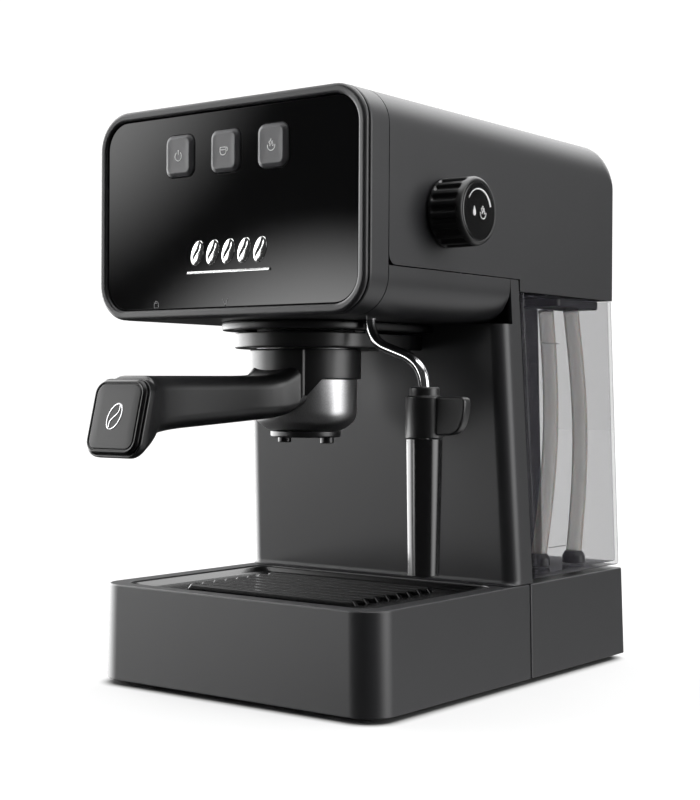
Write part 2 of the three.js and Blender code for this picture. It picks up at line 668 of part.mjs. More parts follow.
// ---------- Steam: valve, knob, pipe ----------
const valveRadius = 9;
const valveIn = half - 38;
const stemRadius = 3;
const knobBase = half + 1.5;
const knobFace = half + 22.8;
const knobRadius = 19.6;
const ribCount = 16;
const ribDepth = 1.2;
function addSteamValve() {
  const centre = [0, groupY, knobZ];
  const body = rod('x', valveRadius, valveIn, half - wall - 2, centre, 18);
  const bore = rod('x', stemRadius + gap, valveIn + 10, half, centre, 12);
  addPart('steam_valve', cut(body, bore), brass);
  addPart('valve_stem', rod('x', stemRadius, valveIn + 12, knobBase + 9, centre, 12), steel);
  const down = knobZ + valveRadius + gap;
  const valveX = valveIn + 6;
  const start = boilerTop + gap;
  addPart('steam_feed_pipe', tube(throughPoints([[24, groupY + 14, start], [24, groupY + 14, start + 8],
    [38, groupY + 9, start + 13], [valveX - 8, groupY + 1, start + 8], [valveX, groupY, down + 8],
    [valveX, groupY, down]]), 2.5, 8, 24), steel);
}

function addSteamKnob() {
  const steps = Array.from({ length: ribCount * 4 }, (_, i) => i);
  const lobed = outline(steps.map((i) => {
    const turn = ((i + 0.5) / steps.length) * Math.PI * 2;
    const radius = knobRadius - (i % 4 < 2 ? 0 : ribDepth);
    return [groupY + radius * Math.cos(turn), knobZ + radius * Math.sin(turn)];
  }));
  const grip = prism('x', lobed, knobBase + 1.5, knobFace - 2);
  const back = rod('x', knobRadius, knobBase, knobBase + 2, [0, groupY, knobZ], 20);
  const nose = rod('x', knobRadius - 1.4, knobFace - 2.5, knobFace - 0.6, [0, groupY, knobZ], 20);
  const bore = rod('x', stemRadius + gap, knobBase - 1, knobBase + 9.5, [0, groupY, knobZ], 12);
  const dish = rod('x', knobRadius - 3, knobFace - 1.6, knobFace, [0, groupY, knobZ], 20);
  addPart('steam_knob', cut(join(grip, back, nose), bore, dish), softBlack);
  addPart('knob_cap', rod('x', knobRadius - 3.3, knobFace - 1.3, knobFace, [0, groupY, knobZ], 20),
    softBlack);
}

// Straight stretches joined by soft corners; corner i is rounded over bends[i] each way.
function bentPath(corners, bends) {
  const path = new THREE.CurvePath();
  const at = corners.map((p) => new THREE.Vector3(...p));
  let from = at[0];
  for (let i = 1; i < at.length - 1; i += 1) {
    const before = at[i].clone().add(at[i - 1].clone().sub(at[i]).setLength(bends[i - 1]));
    const after = at[i].clone().add(at[i + 1].clone().sub(at[i]).setLength(bends[i - 1]));
    path.add(new THREE.LineCurve3(from, before));
    path.add(new THREE.QuadraticBezierCurve3(before, at[i], after));
    from = after;
  }
  path.add(new THREE.LineCurve3(from, at[at.length - 1]));
  return path;
}

const wandReach = 38.5;
const tipX = wandX + wandReach;
const gripHigh = headFloor - 44;
const gripLow = headFloor - 67.4;
const sleeveLow = baseHeight + 13.4;
const gripRadius = 10.8;
function addSteamWand() {
  const pipeTop = headFloor + 26;
  const pipeEnd = sleeveLow + 26;
  const ballZ = headFloor + 10;
  const path = bentPath([[wandX, wandY, pipeTop], [wandX, wandY, headFloor - 12.1],
    [tipX, wandY, headFloor - 25.6], [tipX, wandY, pipeEnd]], [10, 12]);
  const ball = turned('z', [[0, -7], [4.4, -5.4], [6.8, -2], [6.8, 2], [4.4, 5.4], [0, 7]],
    [wandX, wandY, ballZ], 14);
  const nozzle = rod('z', 4.2, pipeEnd - 8, pipeEnd + 1, [tipX, wandY, 0], 12);
  addPart('steam_pipe', join(tube(path, pipeRadius, 10, 40), ball, nozzle), chrome);
  addPart('wand_socket', ring('z', 7.4, 11, headFloor + wall + gap, ballZ + 8, [wandX, wandY, 0], 18), brass);
  const bore = pipeRadius + gap;
  const profile = [[bore, gripLow], [gripRadius, gripLow], [gripRadius, gripHigh], [8.5, gripHigh + 0.6],
    [8.5, gripHigh + 5.4], [bore, gripHigh + 5.4], [bore, gripLow]];
  const reach = 29;
  const tab = prism('y', outline([[tipX + 6, gripLow + 1], [tipX + reach - 6, gripLow + 2],
    [tipX + reach - 1, gripLow + 8], [tipX + reach, gripHigh - 1], [tipX + 6, gripHigh]]),
  wandY - 3.5, wandY + 3.5);
  addPart('wand_grip', join(turned('z', profile, [tipX, wandY, 0], 24), tab), softBlack);
  const top = gripLow - gap;
  addPart('wand_sleeve', turned('z', [[7, sleeveLow], [8.9, sleeveLow], [10.4, top], [7.4, top],
    [7, sleeveLow]], [tipX, wandY, 0], 24), gloss);
}

// ---------- Water tank and its tubes ----------
const tankLeft = bayLeft + tankPlay;
const tankFront = bayFront + 2.3;
const tankLow = baseHeight + 2.3;
const tankHigh = skirtZ - slip;
const tankWall = 2.2;
function addWaterTank() {
  const plan = (inset) => roundRect(tankLeft + inset, half - inset, tankFront + inset,
    bodyDepth - inset, [3, 3, 5, 3]);
  const outer = prism('z', plan(0), tankLow, tankHigh);
  const inner = prism('z', plan(tankWall), tankLow + tankWall, tankHigh + 1);
  addPart('water_tank', settle(cut(outer, inner), true), clear);
}

const holderLow = tankHigh - 6;
const tubeRadius = 5;
function addTankTubes() {
  const [left, right] = [half - tubeBay, half - tankWall - 0.8];
  const [front, back] = [bodyDepth - 70, bodyDepth - 14];
  const plate = block(left, right, front, back, holderLow, tankHigh - 0.4);
  const tubes = [['suction_tube', [half - 12, bodyDepth - 37], [12, 6]],
    ['return_tube', [half - 21, bodyDepth - 54], [-2, -12]]];
  const bores = [];
  for (const [name, [x, y], [bow, foot]] of tubes) {
    bores.push(rod('z', 3, holderLow - 1, tankHigh + 1, [x, y, 0], 10));
    const low = tankLow + 9;
    const high = holderLow - 1.2;
    const mid = (low + high) / 2;
    addPart(name, tube(throughPoints([[x, y, high], [x, y + bow * 0.5, (mid + high) / 2],
      [x, y + bow, mid], [x, y + (bow + foot) * 0.55, (mid + low) / 2], [x, y + foot, low]]),
    tubeRadius, 10, 16), silicone);
  }
  addPart('tube_holder', cut(plate, ...bores), softBlack);
  addPart('tube_coupling', block(left + 1, right - 2, front + 2, back - 2, skirtZ + 0.6, skirtZ + 12),
    softBlack);
}

// ---------- Pump, hoses, power board ----------
const pumpX = -half + 48;
const pumpY = bodyDepth - 55;
const pumpLow = baseHeight + 18;
const pumpTop = pumpLow + 100;
function addPump() {
  const centre = [pumpX, pumpY, 0];
  const barrel = rod('z', 13, pumpLow, pumpTop, centre, 18);
  const coil = block(pumpX - 21, pumpX + 21, pumpY - 21, pumpY + 21, pumpLow + 26, pumpLow + 74);
  addPart('pump', join(barrel, coil), softBlack);
  addPart('pump_mount_lower', ring('z', 13 + gap, 19, pumpLow + 8, pumpLow + 16, centre, 18), rubber);
  addPart('pump_mount_upper', ring('z', 13 + gap, 19, pumpTop - 16, pumpTop - 8, centre, 18), rubber);
}

function addHoses() {
  const over = skirtZ + 16;
  const inlet = [half - 12, bodyDepth - 37];
  addPart('suction_hose', tube(throughPoints([[inlet[0], inlet[1], skirtZ + 13.4],
    [inlet[0] - 4, inlet[1], over + 8], [half - 40, bodyDepth - 10, over + 14],
    [bayLeft + 2, bodyDepth - 9, over + 12], [-22, bodyDepth - 16, over - 4],
    [-18, bodyDepth - 16, pumpTop - 10], [-20, bodyDepth - 26, pumpLow - 2],
    [pumpX + 14, pumpY, pumpLow - 12], [pumpX, pumpY, pumpLow - 9], [pumpX, pumpY, pumpLow - gap]]),
  3.5, 8, 40), silicone);
  addPart('pressure_hose', tube(throughPoints([[pumpX, pumpY, pumpTop + gap], [pumpX, pumpY, pumpTop + 18],
    [pumpX + 2, pumpY - 8, seamZ], [pumpX + 4, pumpY - 40, boilerTop + 12],
    [pumpX + 26, groupY + 34, boilerTop + 18], [-14, groupY + 16, boilerTop + 12],
    [-12, groupY + 14, boilerTop + 1.2]]), 2.5, 8, 30), silicone);
}

function addPowerBoard() {
  const x = -half + 8;
  const z = baseHeight + 60;
  const board = block(x, x + 1.6, bodyDepth - 110, bodyDepth - 20, z, z + 90);
  const relay = block(x + 1, x + 15, bodyDepth - 100, bodyDepth - 82, z + 50, z + 80);
  const filter = block(x + 1, x + 12, bodyDepth - 70, bodyDepth - 50, z + 60, z + 82);
  addPart('power_board', join(board, relay, filter), boardGreen);
}

addFrontFrame();
addFrontHousing();
addPanelAndButtons();
addButtonBoard();
addHeadShell();
addTopCover();
addFillLid();
addFillChute();
addBodyShell();
addServiceCover();
addDripTray();
addDripGrid();
addBaseRear();
addBasePlateAndFeet();
addMainsGland();
addGroup();
addBrewHead();
addFilterHolder();
addPourSpout();
addHandle();
addBoiler();
addSteamValve();
addSteamKnob();
addSteamWand();
addWaterTank();
addTankTubes();
addPump();
addHoses();
addPowerBoard();

// The origin is the middle of the box around the whole machine, on the floor.
const bounds = new THREE.Box3().setFromObject(machine);
machine.position.set(-(bounds.min.x + bounds.max.x) / 2, -(bounds.min.y + bounds.max.y) / 2, -bounds.min.z);

const model = new THREE.Group();
model.add(machine);
export default model;
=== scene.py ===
import bmesh
import bpy
import numpy as np
from mathutils import Matrix, Vector


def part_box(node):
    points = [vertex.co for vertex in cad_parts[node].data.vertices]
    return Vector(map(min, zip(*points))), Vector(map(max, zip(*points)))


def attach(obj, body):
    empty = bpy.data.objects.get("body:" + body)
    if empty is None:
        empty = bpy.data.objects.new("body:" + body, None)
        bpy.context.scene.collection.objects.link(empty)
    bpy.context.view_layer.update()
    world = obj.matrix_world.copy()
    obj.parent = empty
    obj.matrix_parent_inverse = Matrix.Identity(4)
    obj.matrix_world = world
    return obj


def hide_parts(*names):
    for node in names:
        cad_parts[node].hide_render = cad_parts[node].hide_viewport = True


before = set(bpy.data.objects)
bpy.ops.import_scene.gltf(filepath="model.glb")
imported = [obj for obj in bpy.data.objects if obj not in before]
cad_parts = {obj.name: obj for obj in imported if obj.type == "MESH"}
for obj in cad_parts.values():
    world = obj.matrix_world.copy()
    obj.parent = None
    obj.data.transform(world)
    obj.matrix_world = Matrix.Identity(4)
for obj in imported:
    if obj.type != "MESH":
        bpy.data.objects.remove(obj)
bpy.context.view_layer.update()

# An espresso machine's looks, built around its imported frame.
# Sizes are millimetres from the foot of the front frame's middle: x to the right of someone
# who faces the machine, y to its rear, z up from the floor. toMetres() takes them to the frame.
mm = 0.001
frameLow, frameHigh = (np.array(corner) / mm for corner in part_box("front_bezel"))
home = np.array([(frameLow[0] + frameHigh[0]) / 2, frameLow[1], 0.0])


def toMetres(points):
    return (np.asarray(points, float) + home) * mm


def low(node):      # lowest corner of a CAD node, from home
    return np.array(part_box(node)[0]) / mm - home


def high(node):
    return np.array(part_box(node)[1]) / mm - home


def middle(node):
    return (low(node) + high(node)) / 2


half = high("front_bezel")[0]
headFloor = low("front_bezel")[2]
headTop = high("front_bezel")[2]
coverFront = low("top_cover")[1]
bodyBack = high("top_cover")[1]
skirtZ = low("top_cover")[2]
seamZ = high("head_shell")[2] + 0.3
shellBack = high("head_shell")[1]
rimZ = high("base_rear")[2]
footZ = low("base_rear")[2]
groupY = middle("steam_knob")[1]

casing = {"wall": 2.5, "flare": 0.000227, "lean": 0.066, "bayDepth": 122.5, "gap": 0.3, "spread": 0.033,
          "run": 60.0}
bayFront = bodyBack - casing["bayDepth"]


# The rear faces move back a little on the way down.
def spread(points):
    share = np.clip(1 - (bodyBack - points[..., 1]) / casing["run"], 0, 1)
    out = np.array(points, float)
    out[..., 1] += casing["spread"] * (skirtZ - points[..., 2]) * share
    return out


# The lower body widens towards the floor, and its front walls lean back on the way down.
def settle(points, leans=True):
    out = spread(points)
    out[..., 0] *= 1 + casing["flare"] * (skirtZ - out[..., 2])
    if leans:
        share = np.clip((bodyBack - points[..., 1]) / casing["bayDepth"], 0, 1)
        out[..., 1] += casing["lean"] * (seamZ - out[..., 2]) * share
    return out


# how a surface is made
# A rounded rectangle: four quarter circles, joined by straight sides.
def roundLoop(x0, x1, y0, y1, radius, steps=8):
    r = np.maximum(np.broadcast_to(np.asarray(radius, float), 4), 0.01)
    turn = np.linspace(0, np.pi / 2, steps + 1)[None, :] + np.array([2, 3, 0, 1])[:, None] * np.pi / 2
    cx = np.array([x0 + r[0], x1 - r[1], x1 - r[2], x0 + r[3]])[:, None]
    cy = np.array([y0 + r[0], y0 + r[1], y1 - r[2], y1 - r[3]])[:, None]
    return np.stack([cx + r[:, None] * np.cos(turn), cy + r[:, None] * np.sin(turn)], -1).reshape(-1, 2)


# Points at even bearings, one radius from the centre.
def circle(x, y, radius, count=64):
    turn = np.arange(count) / count * 2 * np.pi
    return np.stack([x + radius * np.cos(turn), y + radius * np.sin(turn)], -1)


# A flat loop set at a level across an axis: z takes (x, y), y takes (x, z), x takes (y, z).
def lay(loop, level, axis="z"):
    flat = np.column_stack([loop, np.full(len(loop), float(level))])
    return flat[:, {"z": [0, 1, 2], "y": [0, 2, 1], "x": [2, 0, 1]}[axis]]


# Every ring but the ends gives way to a parabola that starts and ends soft before and after it.
def soften(rings, soft, closed=False, steps=4):
    rings = np.asarray(rings, float)
    count = len(rings)
    soft = np.broadcast_to(np.asarray(soft, float), count)
    t = np.linspace(0, 1, steps + 1)[:, None, None]
    out = []
    for i in range(count):
        if soft[i] <= 0 or (not closed and i in (0, count - 1)):
            out.append(rings[i][None])
            continue
        before, here, after = rings[i - 1], rings[i], rings[(i + 1) % count]
        reach = []
        for other in (before, after):
            away = np.linalg.norm(other - here, axis=1, keepdims=True)
            reach.append(here + (other - here) * np.minimum(soft[i] / np.maximum(away, 1e-9), 0.5))
        out.append((1 - t) ** 2 * reach[0] + 2 * t * (1 - t) * here + t ** 2 * reach[1])
    return np.concatenate(out)


# Quads between neighbours on a grid of rows and columns; the columns close into loops unless
# told otherwise, and the rows may close too. Caps fill the first and the last row flat.
def skin(grid, around=True, along=False, caps=True):
    rows, columns = grid.shape[:2]
    index = np.arange(rows * columns).reshape(rows, columns)
    ends = [index[0, ::-1].tolist(), index[-1].tolist()] if caps and not along else []
    if around:
        index = np.concatenate([index, index[:, :1]], 1)
    if along:
        index = np.concatenate([index, index[:1]], 0)
    quads = np.stack([index[:-1, :-1], index[:-1, 1:], index[1:, 1:], index[1:, :-1]], -1).reshape(-1, 4)
    return grid.reshape(-1, 3), quads.tolist() + ends


def loft(rings, soft=0.0, closed=False, steps=4):
    return skin(soften(rings, soft, closed, steps), along=closed)


# Loops laid one behind another: a profile of (inset, level) for the loop that an inset gives.
def stack(loopAt, profile, soft=0.0, axis="z", closed=False):
    return loft([lay(loopAt(inset), level, axis) for inset, level in profile], soft, closed)


def prism(loop, start, end, axis="z"):      # one loop pulled straight
    return loft([lay(loop, level, axis) for level in (start, end)])


def drawnIn(x0, x1, y0, y1, radius, steps=8):      # a rounded rectangle for each inset
    return lambda inset: roundLoop(x0 + inset, x1 - inset, y0 + inset, y1 - inset, radius, steps)


# A profile of (radius, height) turned about an upright line, its corners softened first.
def turned(profile, soft, centre, axis="z", count=64, closed=False, steps=4):
    rings = [lay(circle(0, 0, r, count), h, axis) for r, h in profile]
    verts, faces = loft(rings, soft, closed, steps)
    return verts + np.asarray(centre, float), faces


def rod(radius, start, end, centre, axis="z", count=64):      # a straight round bar
    return turned([(radius, start), (radius, end)], 0, centre, axis, count)


# A round section carried along a path, kept square to it; width may change along the way.
def tubeAlong(path, radius, count=24):
    path = np.asarray(path, float)
    ahead = np.gradient(path, axis=0)
    ahead /= np.linalg.norm(ahead, axis=1, keepdims=True)
    side = np.cross(ahead, [0.0, 1.0, 0.0])
    side /= np.linalg.norm(side, axis=1, keepdims=True)
    up = np.cross(side, ahead)
    turn = np.arange(count) / count * 2 * np.pi
    r = np.broadcast_to(np.asarray(radius, float), len(path))[:, None, None]
    grid = path[:, None] + r * (np.cos(turn)[None, :, None] * side[:, None]
                                + np.sin(turn)[None, :, None] * up[:, None])
    return skin(grid)


# Straight stretches whose corners are parabolas of the given reach.
def bent(corners, reach, steps=10):
    return soften(np.asarray(corners, float)[:, None], [0, *reach, 0], steps=steps)[:, 0]


# The same path with evenly spaced points, a given number of them.
def resample(path, count):
    path = np.asarray(path, float)
    run = np.concatenate([[0], np.cumsum(np.linalg.norm(np.diff(path, axis=0), axis=1))])
    at = np.linspace(0, run[-1], count)
    return np.stack([np.interp(at, run, path[:, k]) for k in range(3)], -1)


def makeMesh(name, parts):
    mesh = bpy.data.meshes.new(name)
    verts, faces, start = [], [], 0
    for partVerts, partFaces in parts:
        verts.append(partVerts)
        faces += [[i + start for i in face] for face in partFaces]
        start += len(partVerts)
    mesh.from_pydata(toMetres(np.concatenate(verts)), [], faces)
    return mesh


# Doubles are merged, and each closed shell is turned so that its faces point out.
def cleanMesh(mesh):
    grid = bmesh.new()
    grid.from_mesh(mesh)
    bmesh.ops.remove_doubles(grid, verts=grid.verts, dist=2e-6)
    bmesh.ops.dissolve_degenerate(grid, edges=grid.edges, dist=1e-6)
    bmesh.ops.recalc_face_normals(grid, faces=grid.faces)
    grid.to_mesh(mesh)
    grid.free()


# Surfaces given as (corners, faces) become one cleaned mesh in an object at the origin.
def newObject(name, parts):
    mesh = makeMesh(name, parts)
    cleanMesh(mesh)
    obj = bpy.data.objects.new(name, mesh)
    bpy.context.scene.collection.objects.link(obj)
    return obj


# Modifiers that have to be done before others are worked into the mesh here.
def settleModifiers(obj):
    graph = bpy.context.evaluated_depsgraph_get()
    mesh = bpy.data.meshes.new_from_object(obj.evaluated_get(graph))
    obj.modifiers.clear()
    obj.data = mesh


# One visible piece: its surfaces, its finish, the body it rides on, a wall or rounded edges
# where asked, and the CAD node that it stands for.
def piece(name, parts, material, body="housing", wall=0, cutters=(), bevel=0, stands=None):
    obj = newObject(name, parts)
    if wall:
        solid = obj.modifiers.new("wall", "SOLIDIFY")
        solid.thickness = wall * mm
        solid.offset = -1
        solid.use_even_offset = True
    tools = [newObject(f"{name}_cutter_{i}", [part]) for i, part in enumerate(cutters)]
    for tool in tools:
        cut = obj.modifiers.new("cut", "BOOLEAN")
        cut.operation = "DIFFERENCE"
        cut.solver = "EXACT"
        cut.object = tool
    if tools or wall:
        settleModifiers(obj)
    for tool in tools:
        bpy.data.objects.remove(tool)
    if bevel:
        rounding = obj.modifiers.new("edges", "BEVEL")
        rounding.width = bevel * mm
        rounding.segments = 2
        rounding.limit_method = "ANGLE"
        rounding.angle_limit = np.radians(35)
        rounding.harden_normals = False
    obj.data.materials.clear()
    obj.data.materials.append(material)
    obj.data.polygons.foreach_set("use_smooth", np.ones(len(obj.data.polygons), bool))
    even = obj.modifiers.new("even shading", "WEIGHTED_NORMAL")
    even.mode = "FACE_AREA"
    even.keep_sharp = True
    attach(obj, body)
    if stands:
        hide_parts(stands)


print("stage: frame read, head is", round(2 * half), "mm wide")

# camera
view = {"lens": 70.04, "yaw": 37.063, "pitch": -0.302, "roll": 0.329, "place": (588.0, -658.7, 177.4)}
yaw, pitch, roll = np.radians([view["yaw"], view["pitch"], view["roll"]])
ahead = np.array([-np.sin(yaw) * np.cos(pitch), np.cos(yaw) * np.cos(pitch), np.sin(pitch)])
level = np.array([np.cos(yaw), np.sin(yaw), 0.0])
upright = np.cross(level, ahead)
right = level * np.cos(roll) + upright * np.sin(roll)
up = upright * np.cos(roll) - level * np.sin(roll)
lens = bpy.data.cameras.new("camera")
lens.lens = view["lens"]
lens.sensor_fit = "VERTICAL"
lens.sensor_height = 36
lens.clip_start = 0.01
camera = bpy.data.objects.new("camera", lens)
camera.matrix_world = Matrix(np.column_stack([right, up, -ahead]).tolist()).to_4x4()
camera.location = Vector(toMetres(view["place"]))
bpy.context.scene.collection.objects.link(camera)
bpy.context.scene.camera = camera


# finishes
# An sRGB hex value as linear red, green, blue and alpha.
def linear(code, alpha=1.0):
    parts = np.array([int(code[i:i + 2], 16) for i in (1, 3, 5)]) / 255
    parts = np.where(parts <= 0.04045, parts / 12.92, ((parts + 0.055) / 1.055) ** 2.4)
    return (*parts.tolist(), alpha)


# Adds a node; settings are its own properties, and inputs its sockets' values or links.
def add(tree, kind, inputs=None, **settings):
    node = tree.nodes.new("ShaderNode" + kind)
    for key, value in settings.items():
        setattr(node, key, value)
    for key, value in (inputs or {}).items():
        if isinstance(value, bpy.types.NodeSocket):
            tree.links.new(value, node.inputs[key])
        else:
            node.inputs[key].default_value = value
    return node


# A finish starts as one shader with its fixed values; it returns the tree and the shader.
def newFinish(name, **fixed):
    material = bpy.data.materials.new(name)
    material.use_nodes = True
    tree = material.node_tree
    shader = tree.nodes["Principled BSDF"]
    for key, value in fixed.items():
        shader.inputs[key.replace("_", " ").title().replace("Ior", "IOR")].default_value = value
    return material, tree, shader


# Links each output to the shader's input of that name.
def wire(tree, shader, **outputs):
    for key, output in outputs.items():
        tree.links.new(output, shader.inputs[key.replace("_", " ")])


def grainSize(size):      # noise scale for a grain of that many millimetres
    return 1 / (size * mm)


# Noise in the object's own space, with a grain of so many millimetres.
def noise(tree, place, grain, detail, **more):
    return add(tree, "TexNoise", {"Vector": place, "Scale": grainSize(grain), "Detail": detail, **more})


# A pattern's value turned into a colour between two hex values.
def ramp(tree, pattern, dark, light, start=0.0, end=1.0):
    tone = add(tree, "ValToRGB", {"Fac": pattern.outputs["Fac"]})
    for stop, position, code in zip(tone.color_ramp.elements, (start, end), (dark, light)):
        stop.position = position
        stop.color = linear(code)
    return tone.outputs["Color"]


# The relief and the gloss that a pattern gives: rough where it is high, smooth where it is low.
def relief(tree, shader, pattern, values):
    gloss = add(tree, "MapRange", {"Value": pattern.outputs["Fac"], "From Min": 0.3, "From Max": 0.7,
                                   "To Min": values["rough"] - values["spread"],
                                   "To Max": values["rough"] + values["spread"]})
    bump = add(tree, "Bump", {"Height": pattern.outputs["Fac"], "Strength": values["strength"],
                              "Distance": values["depth"] * mm})
    wire(tree, shader, Roughness=gloss.outputs["Result"], Normal=bump.outputs["Normal"])


# Moulded plastic: a spark-eroded mould leaves a fine pebble, and the colour varies a little
# from place to place with wall thickness and handling.
def mouldedPlastic(name, values):
    material, tree, shader = newFinish(name, metallic=0.0, ior=values["ior"])
    place = add(tree, "TexCoord").outputs["Object"]
    pebble = noise(tree, place, values["grain"], 3.0, Roughness=0.6)
    drift = noise(tree, place, 45, 2.0)
    # a mix node keeps its colour inputs at places 6 and 7, and its colour output at place 2
    tone = add(tree, "Mix", {"Factor": drift.outputs["Fac"], 6: linear(values["dark"]),
                             7: linear(values["light"])}, data_type="RGBA")
    wire(tree, shader, Base_Color=tone.outputs[2])
    relief(tree, shader, pebble, values)
    return material


# Metal: fine scratches or blasting pits under a bright surface.
def metal(name, values):
    material, tree, shader = newFinish(name, metallic=1.0)
    place = add(tree, "TexCoord").outputs["Object"]
    stretched = add(tree, "Mapping", {"Vector": place, "Scale": values["stretch"]}).outputs["Vector"]
    mark = noise(tree, stretched, values["grain"], 4.0, Roughness=0.65)
    wire(tree, shader, Base_Color=ramp(tree, mark, values["dark"], values["light"], 0.3, 0.7))
    relief(tree, shader, mark, values)
    return material


# Real grain is about 0.1 to 0.2 mm; it is drawn at 0.5 mm and up so that it shows.
satinAbs = mouldedPlastic("satin ABS casing", {
    "dark": "#232325", "light": "#272729", "rough": 0.40, "spread": 0.04, "ior": 1.53,
    "grain": 0.5, "depth": 0.03, "strength": 0.35})
mattPolyamide = mouldedPlastic("glass-filled polyamide", {
    "dark": "#121213", "light": "#161617", "rough": 0.36, "spread": 0.06, "ior": 1.53,
    "grain": 0.6, "depth": 0.03, "strength": 0.3})
pianoBlack = mouldedPlastic("polished black acrylic", {
    "dark": "#050506", "light": "#060607", "rough": 0.045, "spread": 0.01, "ior": 1.49,
    "grain": 6.0, "depth": 0.004, "strength": 0.05})
sleevePlastic = mouldedPlastic("polished black PBT", {
    "dark": "#111112", "light": "#151516", "rough": 0.16, "spread": 0.02, "ior": 1.55,
    "grain": 1.5, "depth": 0.01, "strength": 0.12})
keyPlastic = mouldedPlastic("grey satin ABS keys", {
    "dark": "#4a4a4c", "light": "#505052", "rough": 0.4, "spread": 0.03, "ior": 1.53,
    "grain": 0.5, "depth": 0.02, "strength": 0.25})
gridPlastic = mouldedPlastic("semi-gloss polypropylene grid", {
    "dark": "#070708", "light": "#0a0a0b", "rough": 0.2, "spread": 0.02, "ior": 1.49,
    "grain": 1.2, "depth": 0.006, "strength": 0.06})
capPlastic = mouldedPlastic("semi-gloss black end cap", {
    "dark": "#050506", "light": "#060607", "rough": 0.3, "spread": 0.02, "ior": 1.38,
    "grain": 1.0, "depth": 0.006, "strength": 0.06})
footRubber = mouldedPlastic("moulded nitrile rubber", {
    "dark": "#131313", "light": "#1a1a1a", "rough": 0.75, "spread": 0.08, "ior": 1.52,
    "grain": 0.9, "depth": 0.06, "strength": 0.5})
redSilicone = mouldedPlastic("red silicone seal", {
    "dark": "#7d2418", "light": "#8a2c1e", "rough": 0.55, "spread": 0.05, "ior": 1.43,
    "grain": 0.8, "depth": 0.02, "strength": 0.2})
boardResin = mouldedPlastic("green solder mask on epoxy board", {
    "dark": "#1c4a2c", "light": "#265a36", "rough": 0.3, "spread": 0.06, "ior": 1.55,
    "grain": 1.2, "depth": 0.03, "strength": 0.3})
markInk = mouldedPlastic("white pad-printed ink", {
    "dark": "#dcdcdc", "light": "#e6e6e6", "rough": 0.45, "spread": 0.04, "ior": 1.5,
    "grain": 0.5, "depth": 0.01, "strength": 0.1})
castAluminium = metal("bead-blasted die-cast aluminium", {
    "dark": "#9b9b9c", "light": "#b4b4b5", "rough": 0.36, "spread": 0.05, "stretch": (1, 1, 1),
    "grain": 0.7, "depth": 0.02, "strength": 0.3})
chromedTube = metal("polished stainless tube", {
    "dark": "#cfcfd0", "light": "#dededf", "rough": 0.09, "spread": 0.03, "stretch": (1, 1, 0.15),
    "grain": 0.8, "depth": 0.004, "strength": 0.1})
pressedSteel = metal("brushed stainless sheet", {
    "dark": "#a6a6a8", "light": "#c2c2c4", "rough": 0.28, "spread": 0.06, "stretch": (1, 1, 0.08),
    "grain": 0.6, "depth": 0.01, "strength": 0.3})
turnedBrass = metal("turned brass", {
    "dark": "#a67a3a", "light": "#c0954e", "rough": 0.3, "spread": 0.06, "stretch": (0.3, 0.3, 1),
    "grain": 0.6, "depth": 0.01, "strength": 0.2})
badgeChrome = metal("bright chromed plastic", {
    "dark": "#c4c4c4", "light": "#dcdcdc", "rough": 0.16, "spread": 0.03, "stretch": (1, 1, 1),
    "grain": 0.6, "depth": 0.003, "strength": 0.1})


# How solid a clear wall looks by the angle it is seen at: thin face on, dense at a glance.
def glanceCover(tree, start, end, least, most, **settings):
    facing = add(tree, "LayerWeight", {"Blend": 0.5}).outputs["Facing"]
    return add(tree, "MapRange", {"Value": facing, "From Min": start, "From Max": end, "To Min": least,
                                  "To Max": most}, **settings).outputs["Result"]


# Clear polyester: thin walls that let most light through and darken it a little. Seen at a
# glancing angle the light goes a long way through the wall, so it shows darker there.
def clearPolyester():
    material, tree, shader = newFinish("clear polyester tank", metallic=0.0, ior=1.57)
    place = add(tree, "TexCoord").outputs["Object"]
    flow = noise(tree, place, 30, 2.0)
    haze = add(tree, "MapRange", {"Value": flow.outputs["Fac"], "To Min": 0.04, "To Max": 0.09})
    bump = add(tree, "Bump", {"Height": flow.outputs["Fac"], "Strength": 0.12, "Distance": 0.2 * mm})
    wire(tree, shader, Base_Color=ramp(tree, flow, "#3c3b42", "#46454c"), Roughness=haze.outputs["Result"],
         Alpha=glanceCover(tree, 0.5, 0.92, 0.2, 0.9, interpolation_type="SMOOTHSTEP"),
         Normal=bump.outputs["Normal"])
    return material


# Extruded silicone: milky and soft, light goes a little way in, and it is densest at its edges.
def milkySilicone():
    material, tree, shader = newFinish("milky extruded silicone", metallic=0.0, ior=1.43,
                                       subsurface_weight=0.25, subsurface_scale=0.004)
    place = add(tree, "TexCoord").outputs["Object"]
    cloud = noise(tree, place, 9, 3.0)
    haze = add(tree, "MapRange", {"Value": cloud.outputs["Fac"], "To Min": 0.25, "To Max": 0.38})
    wire(tree, shader, Base_Color=ramp(tree, cloud, "#c9c1b6", "#ddd6cc"), Roughness=haze.outputs["Result"],
         Alpha=glanceCover(tree, 0.25, 0.9, 0.4, 0.95))
    return material


tankPlastic = clearPolyester()
tubeSilicone = milkySilicone()
print("stage: finishes made")


# head: front frame, housing, panel
def headLoop(inset, radius=22.0, steps=14):
    return roundLoop(-half + inset, half - inset, headFloor + inset, headTop - inset,
                     max(radius - inset, 0.5), steps)


# Profiles of the head's rings are (inset from the outline, depth), carried round the outline.
def headRing(profile, soft):
    return stack(headLoop, profile, soft, "y", closed=True)


